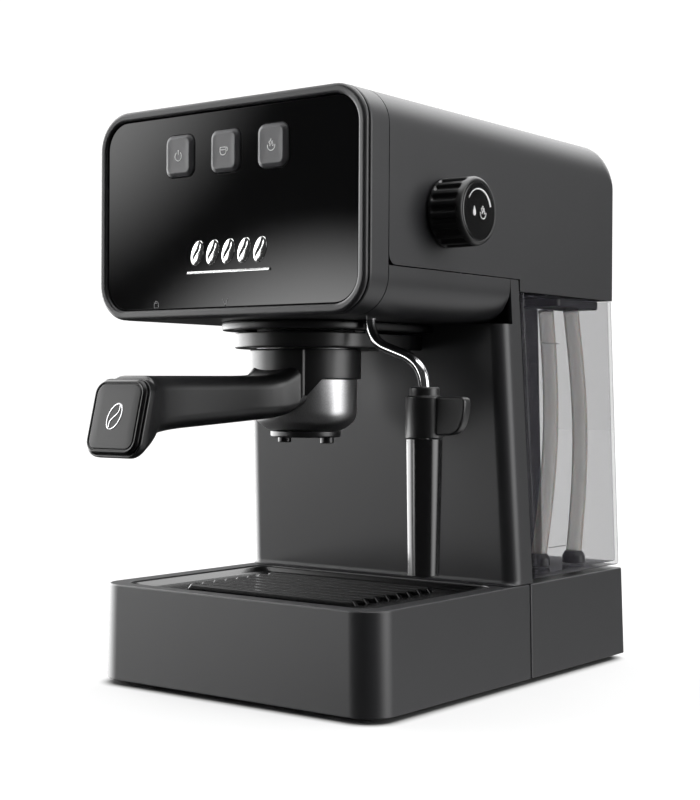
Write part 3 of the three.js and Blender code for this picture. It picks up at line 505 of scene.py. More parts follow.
front = {"border": 5.5, "face": 1.1, "back": 3.2, "tongue": 9.0, "bandFront": 4.6, "bandWall": 2.9,
         "bulkhead": 9.6, "windowHalf": 52.0, "windowTall": 14.0}
bezelProfile = [(0.2, front["back"]), (0, 1.5), (1.5, 0.05), (4.4, 0.3), (front["border"], front["face"]),
                (front["border"], front["tongue"]), (3.3, front["tongue"]), (3.2, front["back"])]
piece("front_frame_ring", [headRing(bezelProfile, [0.3, 1.0, 1.0, 0.5, 0.5, 0.3, 0.3, 0.2])],
      satinAbs, stands="front_bezel")

bandBack = coverFront - casing["gap"]
bandProfile = [(0.5, front["bandFront"]), (0, front["bandFront"] + 0.8), (0, bandBack - 0.3), (0.3, bandBack),
               (front["bandWall"], bandBack), (front["bandWall"], front["bandFront"])]
keyZ = middle("button_brew")[2]
window = roundLoop(-front["windowHalf"], front["windowHalf"], keyZ - front["windowTall"],
                   keyZ + front["windowTall"], 3, 14)
bulkheadOut = headLoop(3.4)
bulkheadRings = [lay(loop, depth, "y") for loop, depth in (
    (bulkheadOut, front["bulkhead"]), (bulkheadOut, front["bulkhead"] + 2),
    (window, front["bulkhead"] + 2), (window, front["bulkhead"]))]
piece("front_housing_band", [headRing(bandProfile, [0.3, 0.5, 0.3, 0.2, 0.4, 0.4]),
                             loft(bulkheadRings, 0.2, closed=True)],
      satinAbs, stands="front_housing")

panel = {"clear": 0.3, "face": low("front_panel")[1], "back": high("front_panel")[1], "keySlip": 0.35,
         "keyRadius": 5.3}
panelPlate = stack(lambda inset: headLoop(front["border"] + panel["clear"] + inset),
                   ((0, panel["back"]), (0, panel["face"] + 0.5), (0.5, panel["face"])), [0, 0.25, 0], "y")
keys = ["button_power", "button_brew", "button_steam"]


# A key's outline, grown from its cap; the hidden flange is larger than the cap all round.
def keyLoop(node, grow, radius):
    (x0, _, z0), (x1, _, z1) = low(node), high(node)
    return drawnIn(x0, x1, z0, z1, radius)(keyCap["flange"] - grow)


keyCap = {"edge": 2.2, "rise": 1.5, "dish": 0.25, "icon": 0.06, "line": 0.55, "flange": 1.0, "radius": 5.0,
          "depth": 3.0}
keyCutters = [prism(keyLoop(node, panel["keySlip"], panel["keyRadius"]), -5, 12, "y") for node in keys]
piece("front_panel_gloss", [panelPlate], pianoBlack,
      cutters=keyCutters, bevel=0.25, stands="front_panel")

# keys: a cap with a wide bevel and a shallow dish, and an icon printed on it
def keyPiece(node, body):
    face, back = low(node)[1], high(node)[1]
    radius = keyCap["radius"]
    profile = [(0, back - keyCap["depth"], radius), (0, face + keyCap["rise"], radius),
               (keyCap["edge"], face, 2.8), (6.0, face + keyCap["dish"], 2.0)]
    cap = loft([lay(keyLoop(node, -inset, r), depth, "y") for inset, depth, r in profile], [0, 0.5, 0.7, 0])
    flange = prism(keyLoop(node, keyCap["flange"], radius), back - keyCap["depth"], back - 2.0, "y")
    stem = rod(2, back - 2.4, back, (middle(node)[0], 0, keyZ), "y", 20)
    piece(node.replace("button", "key"), [cap, flange, stem], keyPlastic, body, stands=node)


# A printed line is a flat ribbon: a path in (x, z) widened each way along its own normal.
def ribbon(path, width, depth, thickness=0.08, closed=False):
    path = np.asarray(path, float)
    if closed:
        along = np.roll(path, -1, 0) - np.roll(path, 1, 0)
    else:
        along = np.gradient(path, axis=0)
    along /= np.linalg.norm(along, axis=1, keepdims=True)
    across = np.stack([-along[:, 1], along[:, 0]], -1) * width / 2
    corners = [(path + across, depth), (path - across, depth), (path - across, depth + thickness),
               (path + across, depth + thickness)]
    grid = np.stack([np.column_stack([flat[:, 0], np.full(len(flat), d), flat[:, 1]])
                     for flat, d in corners], 1)
    return skin(grid, along=closed)


def arc(x, z, radius, start, end, count=28, tall=1.0):
    turn = np.radians(np.linspace(start, end, count))
    return np.stack([x + radius * np.cos(turn), z + tall * radius * np.sin(turn)], -1)


def line(*points):
    return resample(np.array([(x, 0, z) for x, z in points], float), 8)[:, [0, 2]]


def edges(*points):      # one line from each point to the next
    return [line(*pair) for pair in zip(points, points[1:])]


def wave(x, z, tall, sway, count=16):      # a wisp of steam
    t = np.linspace(0, 1, count)
    return np.stack([x + sway * np.sin(t * 2 * np.pi), z + tall * t], -1)


def cupIcon(x, z):
    bowl = np.concatenate([line((x - 2.6, z + 1.9), (x - 2.6, z - 0.4)),
                           arc(x - 0.6, z - 0.4, 2.0, 180, 270, 10), arc(x - 0.2, z - 0.4, 2.0, 270, 360, 10),
                           line((x + 1.8, z - 0.4), (x + 1.8, z + 1.9))])
    return [bowl, line((x - 2.6, z + 1.9), (x + 1.8, z + 1.9)), arc(x + 1.9, z + 0.7, 1.1, -80, 80, 14),
            line((x - 2.0, z + 0.5), (x + 1.2, z + 0.5))]


def steamIcon(x, z, size=1.0):
    bowl = arc(x, z - 0.4 * size, 2.6 * size, 165, 375, 30)
    return [bowl, *(wave(x + d * size, z + r * size, 3.0 * size, 0.35 * size)
                    for d, r in ((-1.1, -0.6), (0, 0.4), (1.1, -0.6)))]


def powerIcon(x, z):
    return [arc(x, z - 0.3, 2.5, 125, 415, 40, 1.05), line((x, z + 0.4), (x, z + 3.2))]


icons = {"button_power": powerIcon, "button_brew": cupIcon, "button_steam": steamIcon}
for node in keys:
    body = node.replace("button_", "") + "_key"
    keyPiece(node, body)
    depth = low(node)[1] + keyCap["dish"] - keyCap["icon"]
    strokes = [ribbon(path, keyCap["line"], depth, 0.3) for path in icons[node](middle(node)[0], keyZ)]
    piece(node.replace("button", "icon"), strokes, markInk, body)

# panel marks: a row of beans as the emblem, lock marks at the lower edge
badge = {"x": 2.0, "z": 256.5, "pitch": 11.8, "count": 5, "tall": 15.0, "wide": 8.8, "rise": 1.4,
         "barDrop": 11.2, "barTall": 1.5}


# A bean is a flattened dome over an oval; its crease is an S-shaped dip along the middle.
def bean(x, z, tall, wide, rise, depth, lean=0.35):
    ring, turn = np.meshgrid(np.linspace(0, 1, 15), np.arange(48) / 48 * 2 * np.pi, indexing="ij")
    a, b = ring * np.cos(turn), ring * np.sin(turn)
    dome = np.sqrt(np.clip(1 - ring ** 2, 0, 1))
    crease = np.exp(-((a - 0.22 * np.sin(b * 3.0)) / 0.13) ** 2) * np.clip(1.15 - np.abs(b), 0, 1)
    height = rise * (0.18 + 0.82 * dome) * (1 - 0.75 * crease * dome)
    px, pz = a * wide / 2, b * tall / 2
    top = np.stack([x + px * np.cos(lean) + pz * np.sin(lean), depth - height,
                    z - px * np.sin(lean) + pz * np.cos(lean)], -1)
    foot = top[-1:].copy()
    foot[..., 1] = depth + 0.1
    return skin(np.concatenate([top, foot]))


panelFace = panel["face"]
spots = badge["x"] + (np.arange(badge["count"]) - (badge["count"] - 1) / 2) * badge["pitch"]
beans = [bean(x, badge["z"], badge["tall"], badge["wide"], badge["rise"], panelFace) for x in spots]
barHalf = badge["pitch"] * badge["count"] / 2 + 1.5
barZ = badge["z"] - badge["barDrop"]
bar = stack(drawnIn(badge["x"] - barHalf, badge["x"] + barHalf, barZ - badge["barTall"] / 2,
                    barZ + badge["barTall"] / 2, 0.5, 4),
            ((0, panelFace + 0.1), (0, panelFace - 0.8), (0.2, panelFace - 1.0)), axis="y")
piece("emblem_beans", [*beans, bar], badgeChrome)

marks = {"lockX": -54.0, "lockHalf": 1.7, "arrowX": 0.0, "arrowHalf": 1.9, "z": 227.8, "tall": 2.0,
         "line": 0.5}
lockLeft, lockRight = marks["lockX"] - marks["lockHalf"], marks["lockX"] + marks["lockHalf"]
lockTop, lockFoot = marks["z"] + 0.9, marks["z"] - 1.8
lockMark = [arc(marks["lockX"], lockTop, 1.2, 0, 180, 14),
            *edges((lockLeft, lockTop), (lockRight, lockTop), (lockRight, lockFoot), (lockLeft, lockFoot),
                   (lockLeft, lockTop))]
arrowMark = edges((marks["arrowX"] - marks["arrowHalf"], marks["z"] + marks["tall"]),
                  (marks["arrowX"], marks["z"] - marks["tall"]),
                  (marks["arrowX"] + marks["arrowHalf"], marks["z"] + marks["tall"]))
piece("lock_marks", [ribbon(path, marks["line"], panelFace - 0.05, 0.3) for path in lockMark + arrowMark],
      keyPlastic)

# head: top cover and lower shell
cover = {"radius": 22.0, "rearTop": 14.0, "rearSide": 2.5, "corner": 6.0, "seamGap": 0.3, "step": 1.1,
         "steps": 12}
hair = 0.02      # two rows of points that far apart make a sharp step in an edge


# The cover is one section, an arch with round shoulders, pulled from front to rear; near the
# rear it draws in by a quarter ellipse, more on top than at the sides, and a flat wall ends it.
# Its lower edge follows the seam, drops behind the column to the tank, and turns up in a
# round corner at the front.
def coverShell():
    turn = np.linspace(0, np.pi / 2, 7)
    stepY = bayFront + cover["step"]
    y = np.concatenate([[coverFront], coverFront + cover["corner"] * (1 - np.cos(turn[1:])),
                        np.linspace(coverFront + 20, bayFront, 8), [stepY, stepY + hair],
                        np.linspace(bayFront + 12, bodyBack - cover["rearTop"], 10),
                        bodyBack - cover["rearTop"] * (1 - np.sin(turn[1:]))])
    seamEdge = seamZ + cover["seamGap"]
    rise = cover["corner"] - np.sqrt(np.clip(cover["corner"] ** 2 - np.clip(
        coverFront + cover["corner"] - y, 0, cover["corner"]) ** 2, 0, None))
    lowEdge = np.where(y < stepY + hair / 2, seamEdge, skirtZ) + rise
    into = np.clip((y - bodyBack + cover["rearTop"]) / cover["rearTop"], 0, 1)
    dropTop = cover["rearTop"] * (1 - np.sqrt(np.clip(1 - into ** 2, 0, 1)))
    intoSide = np.clip((y - bodyBack + cover["rearSide"]) / cover["rearSide"], 0, 1)
    drawIn = cover["rearSide"] * (1 - np.sqrt(np.clip(1 - intoSide ** 2, 0, 1)))
    shoulder = np.linspace(0, np.pi / 2, cover["steps"] + 1)
    cos, sin = np.cos(shoulder), np.sin(shoulder)
    r = cover["radius"]
    w, t = (half - drawIn)[:, None], (headTop - dropTop)[:, None]
    rightX = np.concatenate([np.repeat(w, 6, 1), w - r + r * cos], 1)
    rightZ = np.concatenate([lowEdge[:, None] + (t - r - lowEdge[:, None]) * np.linspace(0, 0.95, 6),
                             t - r + r * sin], 1)
    x = np.concatenate([rightX, -rightX[:, ::-1]], 1)
    z = np.concatenate([rightZ, rightZ[:, ::-1]], 1)
    grid = np.stack([x, np.repeat(y[:, None], x.shape[1], 1), z], -1)
    verts, faces = skin(grid, around=False, caps=False)
    last = (len(y) - 1) * x.shape[1] + np.arange(x.shape[1])
    return verts, faces + [last.tolist()]


def boxLoop(x0, x1, y0, y1, z0, z1, radius=0.5):
    return prism(roundLoop(x0, x1, y0, y1, radius), z0, z1)


lidLow, lidHigh = low("fill_lid"), high("fill_lid")
lidPin = 2.4      # the hinge pins stand out past the lid's plate
lidSlip = 0.6
lidCut = boxLoop(lidLow[0] + lidPin - lidSlip, lidHigh[0] - lidPin + lidSlip, lidLow[1] - lidSlip,
                 lidHigh[1] + lidSlip, headTop - 8, headTop + 2, 1.2)
knobCentreZ = middle("steam_knob")[2]
stemCut = rod(6, half - 8, half + 4, (0, groupY, knobCentreZ), "x", 32)
piece("top_cover_shell", [coverShell()], satinAbs, wall=casing["wall"],
      cutters=[lidCut, stemCut], bevel=0.5, stands="top_cover")

underShell = {"radius": 22.0, "steps": 12}


# The lower shell is a tub section, open above, pulled from front to rear.
def underShellSkin():
    turn = np.linspace(-np.pi / 2, 0, underShell["steps"] + 1)
    r = underShell["radius"]
    top = seamZ - casing["gap"]
    rightX = np.concatenate([[0, half / 2], half - r + r * np.cos(turn), [half]])
    rightZ = np.concatenate([[headFloor, headFloor], headFloor + r + r * np.sin(turn), [top]])
    x = np.concatenate([-rightX[:0:-1], rightX])
    z = np.concatenate([rightZ[:0:-1], rightZ])
    y = np.linspace(coverFront, shellBack, 10)
    grid = np.stack([np.repeat(x[None], len(y), 0), np.repeat(y[:, None], len(x), 1),
                     np.repeat(z[None], len(y), 0)], -1)
    return skin(grid[::-1], around=False, caps=False)


pipeSpot = middle("wand_socket")[:2]
brewCut = rod(37, headFloor - 4, headFloor + 6, (0, groupY, 0), count=96)
pipeCut = rod(3.9, headFloor - 4, headFloor + 6, (*pipeSpot, 0), count=32)
piece("head_lower_shell", [underShellSkin()], satinAbs,
      wall=casing["wall"], cutters=[brewCut, pipeCut], bevel=0.4, stands="head_shell")

# filling lid
lidPlate = {"thick": 2.5, "edge": 0.6, "barrel": 2.5, "pin": 1.1}
lidX0, lidX1 = lidLow[0] + lidPin, lidHigh[0] - lidPin
hinge = (0, lidHigh[1] - lidPlate["barrel"], headTop - lidPlate["barrel"])
lidTop = stack(drawnIn(lidX0, lidX1, lidLow[1], hinge[1] - 0.01, 1.5),
               ((0, headTop - lidPlate["thick"]), (0, headTop - lidPlate["edge"]),
                (lidPlate["edge"], headTop)), [0, 0.3, 0])
barrel = turned([(2.2, lidX0), (lidPlate["barrel"], lidX0 + 0.3), (lidPlate["barrel"], lidX1 - 0.3),
                 (2.2, lidX1)], 0, hinge, "x", 28)
pins = rod(lidPlate["pin"], lidLow[0], lidHigh[0], hinge, "x", 20)
piece("fill_lid_plate", [lidTop, barrel, pins], satinAbs, "lid",
      stands="fill_lid")
print("stage: head done")


# column, tank bay and rear casing
column = {"radius": 9.0, "rearRadius": 8.0, "foot": 3.0, "front": 134.8}
bayLeft = low("water_tank")[0] / (1 + casing["flare"] * (skirtZ - low("water_tank")[2])) - 1.7
bodyFloor = low("body_shell")[2]
columnFront = column["front"]


# A quarter circle of points from a starting bearing.
def quarter(x, y, radius, start, steps=8):
    turn = np.radians(np.linspace(start, start + 90, steps + 1))
    return np.stack([x + radius * np.cos(turn), y + radius * np.sin(turn)], -1)


# The plan runs round the column, into the tank bay and round the rear, and is pulled upright.
# Each upright strip ends where the head or the cover rests on it; near the tray the front
# swells forward by a quarter circle, so that the column grows out of the deck.
def bodyShell():
    r, rear, seat = column["radius"], column["rearRadius"], shellBack + casing["gap"]
    plan = np.concatenate([
        quarter(-half + r, columnFront + r, r, 180),
        [[half * place, columnFront] for place in (-0.5, 0, 0.5)],
        quarter(half - r, columnFront + r, r, -90), [[half, seat], [half, seat + hair]],
        [[half, bayFront - 0.6], [half - 0.6, bayFront]],
        [[bayLeft + 1.2, bayFront], [bayLeft, bayFront + 1.2]],
        [[bayLeft, bodyBack - 1.5], [bayLeft - 1.5, bodyBack]], [[-half / 2, bodyBack]],
        quarter(-half + rear, bodyBack - rear, rear, 90),
        [[-half, bayFront + hair], [-half, bayFront], [-half, seat + hair], [-half, seat]]])
    y = plan[:, 1]
    top = np.where(y <= seat + hair / 2, headFloor, np.where(y <= bayFront + hair / 2, seamZ, skirtZ))
    top = top - casing["gap"]
    bottom = np.linspace(0, 1, 9)[:, None] * column["foot"]
    share = np.linspace(0, 1, 14)[1:]
    footTop = bodyFloor + column["foot"]
    z = np.concatenate([np.repeat(bodyFloor + bottom, len(plan), 1),
                        footTop + share[:, None] * (top - bodyFloor - column["foot"])[None]])
    grid = np.stack([np.repeat(plan[None, :, 0], len(z), 0), np.repeat(y[None], len(z), 0), z], -1)
    grid = settle(grid)
    rise = np.clip(z - bodyFloor, 0, column["foot"])
    swell = column["foot"] - np.sqrt(column["foot"] ** 2 - (column["foot"] - rise) ** 2)
    isFront = (y < columnFront + r + 0.01)[None]
    grid[..., 1] -= np.where(isFront, swell * np.clip((columnFront + r - y) / r, 0, 1)[None] ** 0.5, 0)
    return skin(grid, caps=False)


service = {"low": low("service_cover")[2], "high": high("service_cover")[2],
           "left": low("service_cover")[0], "right": high("service_cover")[0], "slots": 6, "pitch": 8.0}
through = (bodyBack - 6, bodyBack + 12)      # how far the rear openings are cut
serviceLoop = roundLoop(service["left"] - 0.6, service["right"] + 0.6, service["low"] - 0.6,
                        service["high"] + 0.6, 5)
serviceCut = prism(serviceLoop, *through, "y")
piece("body_casing", [bodyShell()], satinAbs, wall=casing["wall"],
      cutters=[serviceCut], bevel=0.5, stands="body_shell")

coverLoopAt = drawnIn(service["left"], service["right"], service["low"], service["high"], 4.5)
coverPlate = loft([spread(lay(coverLoopAt(inset), depth, "y")) for inset, depth in
                   ((0, bodyBack - casing["wall"]), (0, bodyBack - 0.5), (0.5, bodyBack))], [0, 0.3, 0])
slotCuts = []
for i in range(service["slots"]):
    z = service["high"] - 15.4 - i * service["pitch"]
    loop = roundLoop(service["left"] + 14, service["right"] - 14, z - 1.5, z + 1.5, 1.5, 6)
    slotCuts.append(prism(loop, *through, "y"))
piece("service_cover_plate", [coverPlate], satinAbs, cutters=slotCuts,
      bevel=0.4, stands="service_cover")

# base and drip tray
tray = {"front": 4.0, "back": high("drip_tray")[1], "radius": 17.0, "recess": 11.0, "ledge": 2.0, "wall": 2.5,
        "floor": 15.5, "gridBack": high("drip_grid")[1], "ledgeZ": low("drip_grid")[2] - 0.3, "edge": 1.2}


# A loop of the well: the head's width and the tray's front, drawn in, and a back of its own.
def wellLoop(inset, back, radius, z):
    loop = roundLoop(-half + inset, half - inset, tray["front"] + inset, back, radius, 12)
    return settle(lay(loop, z), False)


# A loop of the skirt, drawn in on all four sides, round in front and square behind.
def trayLoop(inset, z):
    radius = [max(tray["radius"] - inset, 1)] * 2 + [1.2] * 2
    return wellLoop(inset, tray["back"] - inset, radius, z)


# The tray is one skin: up the inside of the skirt, round its foot, up the outside, over the
# rim, down past the ledge that the grid rests on, and down to the floor of the well.
ledgeInset = tray["recess"] + tray["ledge"]
wellBack, ledgeBack = tray["gridBack"] + 0.6, tray["gridBack"] - 2
trayRings = [
    wellLoop(ledgeInset - tray["wall"], wellBack, 10, tray["floor"] - tray["wall"]),
    wellLoop(ledgeInset - tray["wall"], wellBack, 10, rimZ - tray["wall"] - 0.6),
    trayLoop(tray["wall"], rimZ - tray["wall"]), trayLoop(tray["wall"], footZ), trayLoop(0, footZ),
    trayLoop(0, rimZ), wellLoop(tray["recess"], wellBack, 10, rimZ),
    wellLoop(tray["recess"], wellBack, 10, tray["ledgeZ"]),
    wellLoop(ledgeInset, ledgeBack, 8, tray["ledgeZ"]), wellLoop(ledgeInset, ledgeBack, 8, tray["floor"]),
    wellLoop(ledgeInset + 12, ledgeBack - 12, 4, tray["floor"] - 0.2)]
traySoft = [0, 0.5, 0.8, 0.5, 0.6, tray["edge"], 0.9, 0.5, 0.5, 3.0, 0]
piece("drip_tray_body", [loft(trayRings, traySoft)], satinAbs, "tray",
      stands="drip_tray")

gridShape = {"slats": 8, "pitch": 10.6, "first": 43.0, "width": 4.2, "half": half - 36.0, "bevel": 2.5,
             "top": rimZ - 0.6, "plate": low("drip_grid")[2] + 2.4, "low": low("drip_grid")[2]}
gridLow, gridHigh = low("drip_grid"), high("drip_grid")


def gridLoop(inset, z, radius, backInset=None):
    back = gridHigh[1] - (inset if backInset is None else backInset)
    return lay(roundLoop(gridLow[0] + inset, gridHigh[0] - inset, gridLow[1] + inset, back, radius, 8), z)


slatEnd = gridShape["half"] - 2
firstGap = gridShape["first"] - gridShape["pitch"] / 2 - 1.5
lastGap = gridShape["first"] + (gridShape["slats"] - 0.5) * gridShape["pitch"] + 1.5
openLoop = roundLoop(-slatEnd, slatEnd, firstGap, lastGap, 2, 8)
# The frame: a rounded rim, a slope down to the slats, and the edge of the opening.
frameRings = [gridLoop(0, gridShape["low"], 9), gridLoop(0, gridShape["top"], 9),
              gridLoop(2.2, gridShape["top"], 7), gridLoop(9.0, gridShape["plate"] + 0.4, 5, 5.5),
              lay(openLoop, gridShape["plate"]), lay(openLoop, gridShape["low"])]
gridParts = [loft(frameRings, [0.3, 0.6, 0.7, 1.5, 0.4, 0.3], closed=True)]
# A slat is a bar whose ends slope down to the frame; its section is a little crowned.
slatX = np.array([-1, -1, 1, 1]) * gridShape["half"] + np.array([0, 1, -1, 0]) * gridShape["bevel"]
slatEndZ, slatTopZ, slatLow = gridShape["plate"] + 0.3, gridShape["top"] - 0.1, gridShape["low"] + 0.4
section = np.array([(-0.5, 0), (-0.5, 0.72), (-0.36, 1), (0.36, 1), (0.5, 0.72), (0.5, 0)])
for i in range(gridShape["slats"]):
    y = gridShape["first"] + i * gridShape["pitch"] + section[:, 0] * gridShape["width"]
    rings = [np.column_stack([np.full(6, x), y, slatLow + section[:, 1] * (top - slatLow)])
             for x, top in zip(slatX, (slatEndZ, slatTopZ, slatTopZ, slatEndZ))]
    gridParts.append(loft(rings, [0, 0.8, 0.8, 0]))
for x in (-slatEnd / 2.6, slatEnd / 2.6):       # two ribs under the slats
    gridParts.append(boxLoop(x - 1.2, x + 1.2, firstGap - 1, lastGap + 1, gridShape["low"] + 0.1,
                             gridShape["low"] + 1.6, 0.3))
piece("drip_grid_slats", gridParts, gridPlastic, "grid", bevel=0.45, stands="drip_grid")

base = {"front": low("base_rear")[1], "back": bodyBack + 2.2, "wall": 3.0, "radius": 3.0}


# The rear base in plan, drawn in by an inset; it widens towards the floor like the casing.
def baseLoop(inset, z):
    return settle(lay(roundLoop(-half + inset, half - inset, base["front"] + inset, base["back"] - inset,
                                [1.2, 1.2, base["radius"] - inset, base["radius"] - inset], 10), z), False)


baseRings = [baseLoop(base["wall"], rimZ - base["wall"]), baseLoop(base["wall"], footZ), baseLoop(0, footZ),
             baseLoop(0, rimZ), baseLoop(8, rimZ)]
glandSpot = middle("mains_gland") * [1, 0, 1]
glandCut = rod(6, base["back"] - 4, base["back"] + 12, glandSpot, "y", 32)
tongueCut = boxLoop(-half + 10, half - 10, base["front"] - 2, base["front"] + 5, footZ - 2, footZ + 5.1)
piece("base_rear_shell", [loft(baseRings, [0, 0.5, 0.6, 1.2, 0])], satinAbs,
      cutters=[glandCut, tongueCut], bevel=0.3, stands="base_rear")

for foot in ("foot_front_left", "foot_front_right", "foot_rear_left", "foot_rear_right"):
    r, top = (high(foot)[0] - low(foot)[0]) / 2, high(foot)[2]
    pad = turned([(2, 0.6), (r - 3, 0.6), (r - 2.6, 0), (r, 0), (r, top)], [0, 0.2, 0.2, 0.9, 0],
                 middle(foot) * [1, 1, 0], count=48)
    piece(foot + "_pad", [pad], footRubber, stands=foot)

glandFace = base["back"] + casing["spread"] * (skirtZ - glandSpot[2]) + 0.6
gland = turned([(3.5, glandFace - 8), (5.5, glandFace - 8), (5.5, glandFace), (9, glandFace),
                (9, glandFace + 2.6), (3.5, glandFace + 2.6)], [0.2, 0.5, 0.4, 0.3, 1.0, 0.5],
               glandSpot, "y", 48, closed=True)
piece("mains_inlet_gland", [gland], footRubber, stands="mains_gland")
print("stage: body, base and tray done")


# brewing group
group = {"plate": 50.6, "ring": 43.0, "plateBore": 37.0, "ringBore": 34.4, "lipBore": 31.4,
         "back": high("group_plate")[1]}


# A tailed disc: half a circle in front, straight flanks back to the column.
def tailLoop(radius, back):
    turn = np.linspace(np.pi, 2 * np.pi, 49)
    nose = np.stack([radius * np.cos(turn), groupY + radius * np.sin(turn)], -1)
    side = np.linspace(groupY, back, 6)[1:]
    rightSide = np.stack([np.full(5, radius), side], -1)
    rear = np.stack([np.linspace(radius, -radius, 9)[1:-1], np.full(7, back)], -1)
    return np.concatenate([nose, rightSide, rear, rightSide[::-1] * [-1, 1]])


def boreLoop(outer, radius):      # a circle with its points on the same bearings as the outer loop
    away = outer - [0, groupY]
    return away / np.linalg.norm(away, axis=1, keepdims=True) * radius + [0, groupY]


def onGroup(turn, radius, z):      # points round the brewing group's axis, by bearing
    return np.stack([radius * np.cos(turn), groupY + radius * np.sin(turn), z + 0 * turn], -1)


def tailedRing(profile, soft):    # profile of (radius, height, is bore)
    rings = []
    for radius, z, bore in profile:
        outer = tailLoop(group["plate"] if bore else radius, group["back"])
        rings.append(lay(boreLoop(outer, radius) if bore else outer, z))
    return loft(rings, soft, closed=True)


plateZ = (low("group_plate")[2], high("group_plate")[2])
piece("group_flange", [tailedRing([(group["plate"] - 0.4, plateZ[0], 0), (group["plate"], plateZ[0] + 1.2, 0),
                                   (group["plate"], plateZ[1] - 1.0, 0), (group["plate"] - 0.6, plateZ[1], 0),
                                   (group["plateBore"], plateZ[1], 1), (group["plateBore"], plateZ[0], 1)],
                                  [0.6, 0.8, 0.8, 0.4, 0.3, 0.3])],
      mattPolyamide, stands="group_plate")
ringZ = (low("group_ring")[2], high("group_ring")[2])
lip = ringZ[0] + 3.8
piece("group_bayonet_ring", [tailedRing([(group["ring"], ringZ[0], 0), (group["ring"], ringZ[1], 0),
                                         (group["ringBore"], ringZ[1], 1), (group["ringBore"], lip, 1),
                                         (group["lipBore"], lip, 1), (group["lipBore"], ringZ[0], 1)],
                                        [1.4, 0.6, 0.3, 0.2, 0.3, 0.4])],
      mattPolyamide, stands="group_ring")

# filter holder: cast cup with two lugs, spout, handle with its cap
cup = {"low": low("filter_holder")[2], "top": high("filter_holder")[2], "body": 30.9, "rim": 29.9,
       "collarLow": headFloor - 34.0, "collarHigh": high("handle")[2], "lug": 33.7, "lugHalf": np.pi / 10}
cupProfile = [(4, cup["low"]), (20, cup["low"]), (23.5, cup["low"] + 1.0), (cup["body"], cup["low"] + 6.5),
              (cup["body"], cup["collarLow"] - 0.3), (cup["rim"], cup["collarLow"] - 0.3),
              (cup["rim"], cup["top"]),
              (27.6, cup["top"]), (27.6, cup["low"] + 9), (24.5, cup["low"] + 4), (4, cup["low"] + 3.5)]
cupSoft = [0.3, 1.0, 1.5, 5.5, 0.3, 0.3, 0.4, 0.3, 1.0, 2.0, 0.5]


def lug(bearing, steps=9):      # a wedge between two radii
    turn = bearing + np.linspace(-cup["lugHalf"], cup["lugHalf"], steps)
    inside, foot, head = cup["rim"] - 1, lip + 0.3, cup["top"] - 0.4
    corners = [onGroup(turn, radius, z) for radius, z in
               ((inside, foot), (cup["lug"], foot), (cup["lug"], head), (inside, head))]
    return skin(soften(corners, 0.5, closed=True).transpose(1, 0, 2))


cupWall = turned(cupProfile, cupSoft, (0, groupY, 0), count=96, closed=True)
piece("filter_holder_cup", [cupWall, lug(0), lug(np.pi)],
      castAluminium, "portafilter", stands="filter_holder")

spout = {"disk": 21.2, "offset": 16.4, "nub": 4.0, "bore": 2.4, "low": low("pour_spout")[2],
         "top": cup["low"] - 0.3}
diskParts = [turned([(3.4, spout["top"] + 2.4), (3.6, spout["top"]), (spout["disk"], spout["top"]),
                     (spout["disk"], spout["top"] - 3.7), (3.4, spout["top"] - 3.9)],
                    [0, 0.3, 0.5, 1.2, 0], (0, groupY, 0), count=80)]
for side in (-1, 1):
    diskParts.append(turned([(spout["nub"], spout["top"] - 3.2), (spout["nub"], spout["low"]),
                             (spout["bore"], spout["low"]), (spout["bore"], spout["top"] - 3.2)],
                            [0.2, 0.6, 0.5, 0.2], (side * spout["offset"], groupY, 0), count=40, closed=True))
piece("pour_spout_disk", diskParts, mattPolyamide, "portafilter", stands="pour_spout")

handle = {"tilt": 14.0, "capTall": 42.5, "capWide": 40.0, "capThick": 3.0, "collar": 33.3, "bore": 31.3,
          "saddle": 34.7, "saddleHalf": 38.0, "dip": 10.0}
tilt = np.radians(handle["tilt"])
capUp = np.array([0, np.sin(tilt), np.cos(tilt)])
capIn = np.array([0, np.cos(tilt), -np.sin(tilt)])
capMiddle = middle("handle_cap") - capIn * handle["capThick"] / 2
capMiddle[0] = 0


# A loop drawn on the tilted face of the handle's end, sunk in by a depth.
def onCap(loop, depth):
    return capMiddle + loop[:, :1] * [1, 0, 0] + loop[:, 1:] * capUp + depth * capIn


def capLoop(inset):
    w, t = handle["capWide"] / 2 - inset, handle["capTall"] / 2 - inset
    return roundLoop(-w, w, -t, t, max(9.0 - inset, 1), 10)


# Down the handle: (y, bottom, top, half width, corner radius); each section is a rounded
# rectangle, and the last one lies on the collar's cylinder.
beamStations = [(-71.0, 148.5, 185.4, 18.0, 9.0), (-65.0, 154.2, 185.3, 14.8, 8.5),
                (-50.0, 156.6, 185.5, 13.7, 8.0), (-10.0, 158.9, 185.9, 13.4, 8.0),
                (20.0, 160.8, 186.3, 13.7, 8.0), (33.0, 161.6, 187.0, 15.0, 8.0),
                (41.0, 163.5, 189.5, 18.0, 7.0)]


# The beam is lofted from the cap's seat through the sections to the collar, softened on the way.
def handleBeam():
    rings = [onCap(capLoop(0.3), handle["capThick"] - 0.6), onCap(capLoop(0), handle["capThick"]),
             onCap(capLoop(0.2), handle["capThick"] + 4.0)]
    for y, bottom, top, w, r in beamStations:
        rings.append(lay(roundLoop(-w, w, bottom, top, r, 10), y, "y"))
    end = lay(roundLoop(-20.5, 20.5, 168.0, 194.0, 6.0, 10), 0, "y")
    end[:, 1] = groupY - np.sqrt((handle["collar"] - 1) ** 2 - end[:, 0] ** 2)
    rings.append(end)
    return loft(rings, [0, 0.4, 2, 6, 6, 10, 12, 8, 6, 5, 0], steps=5)


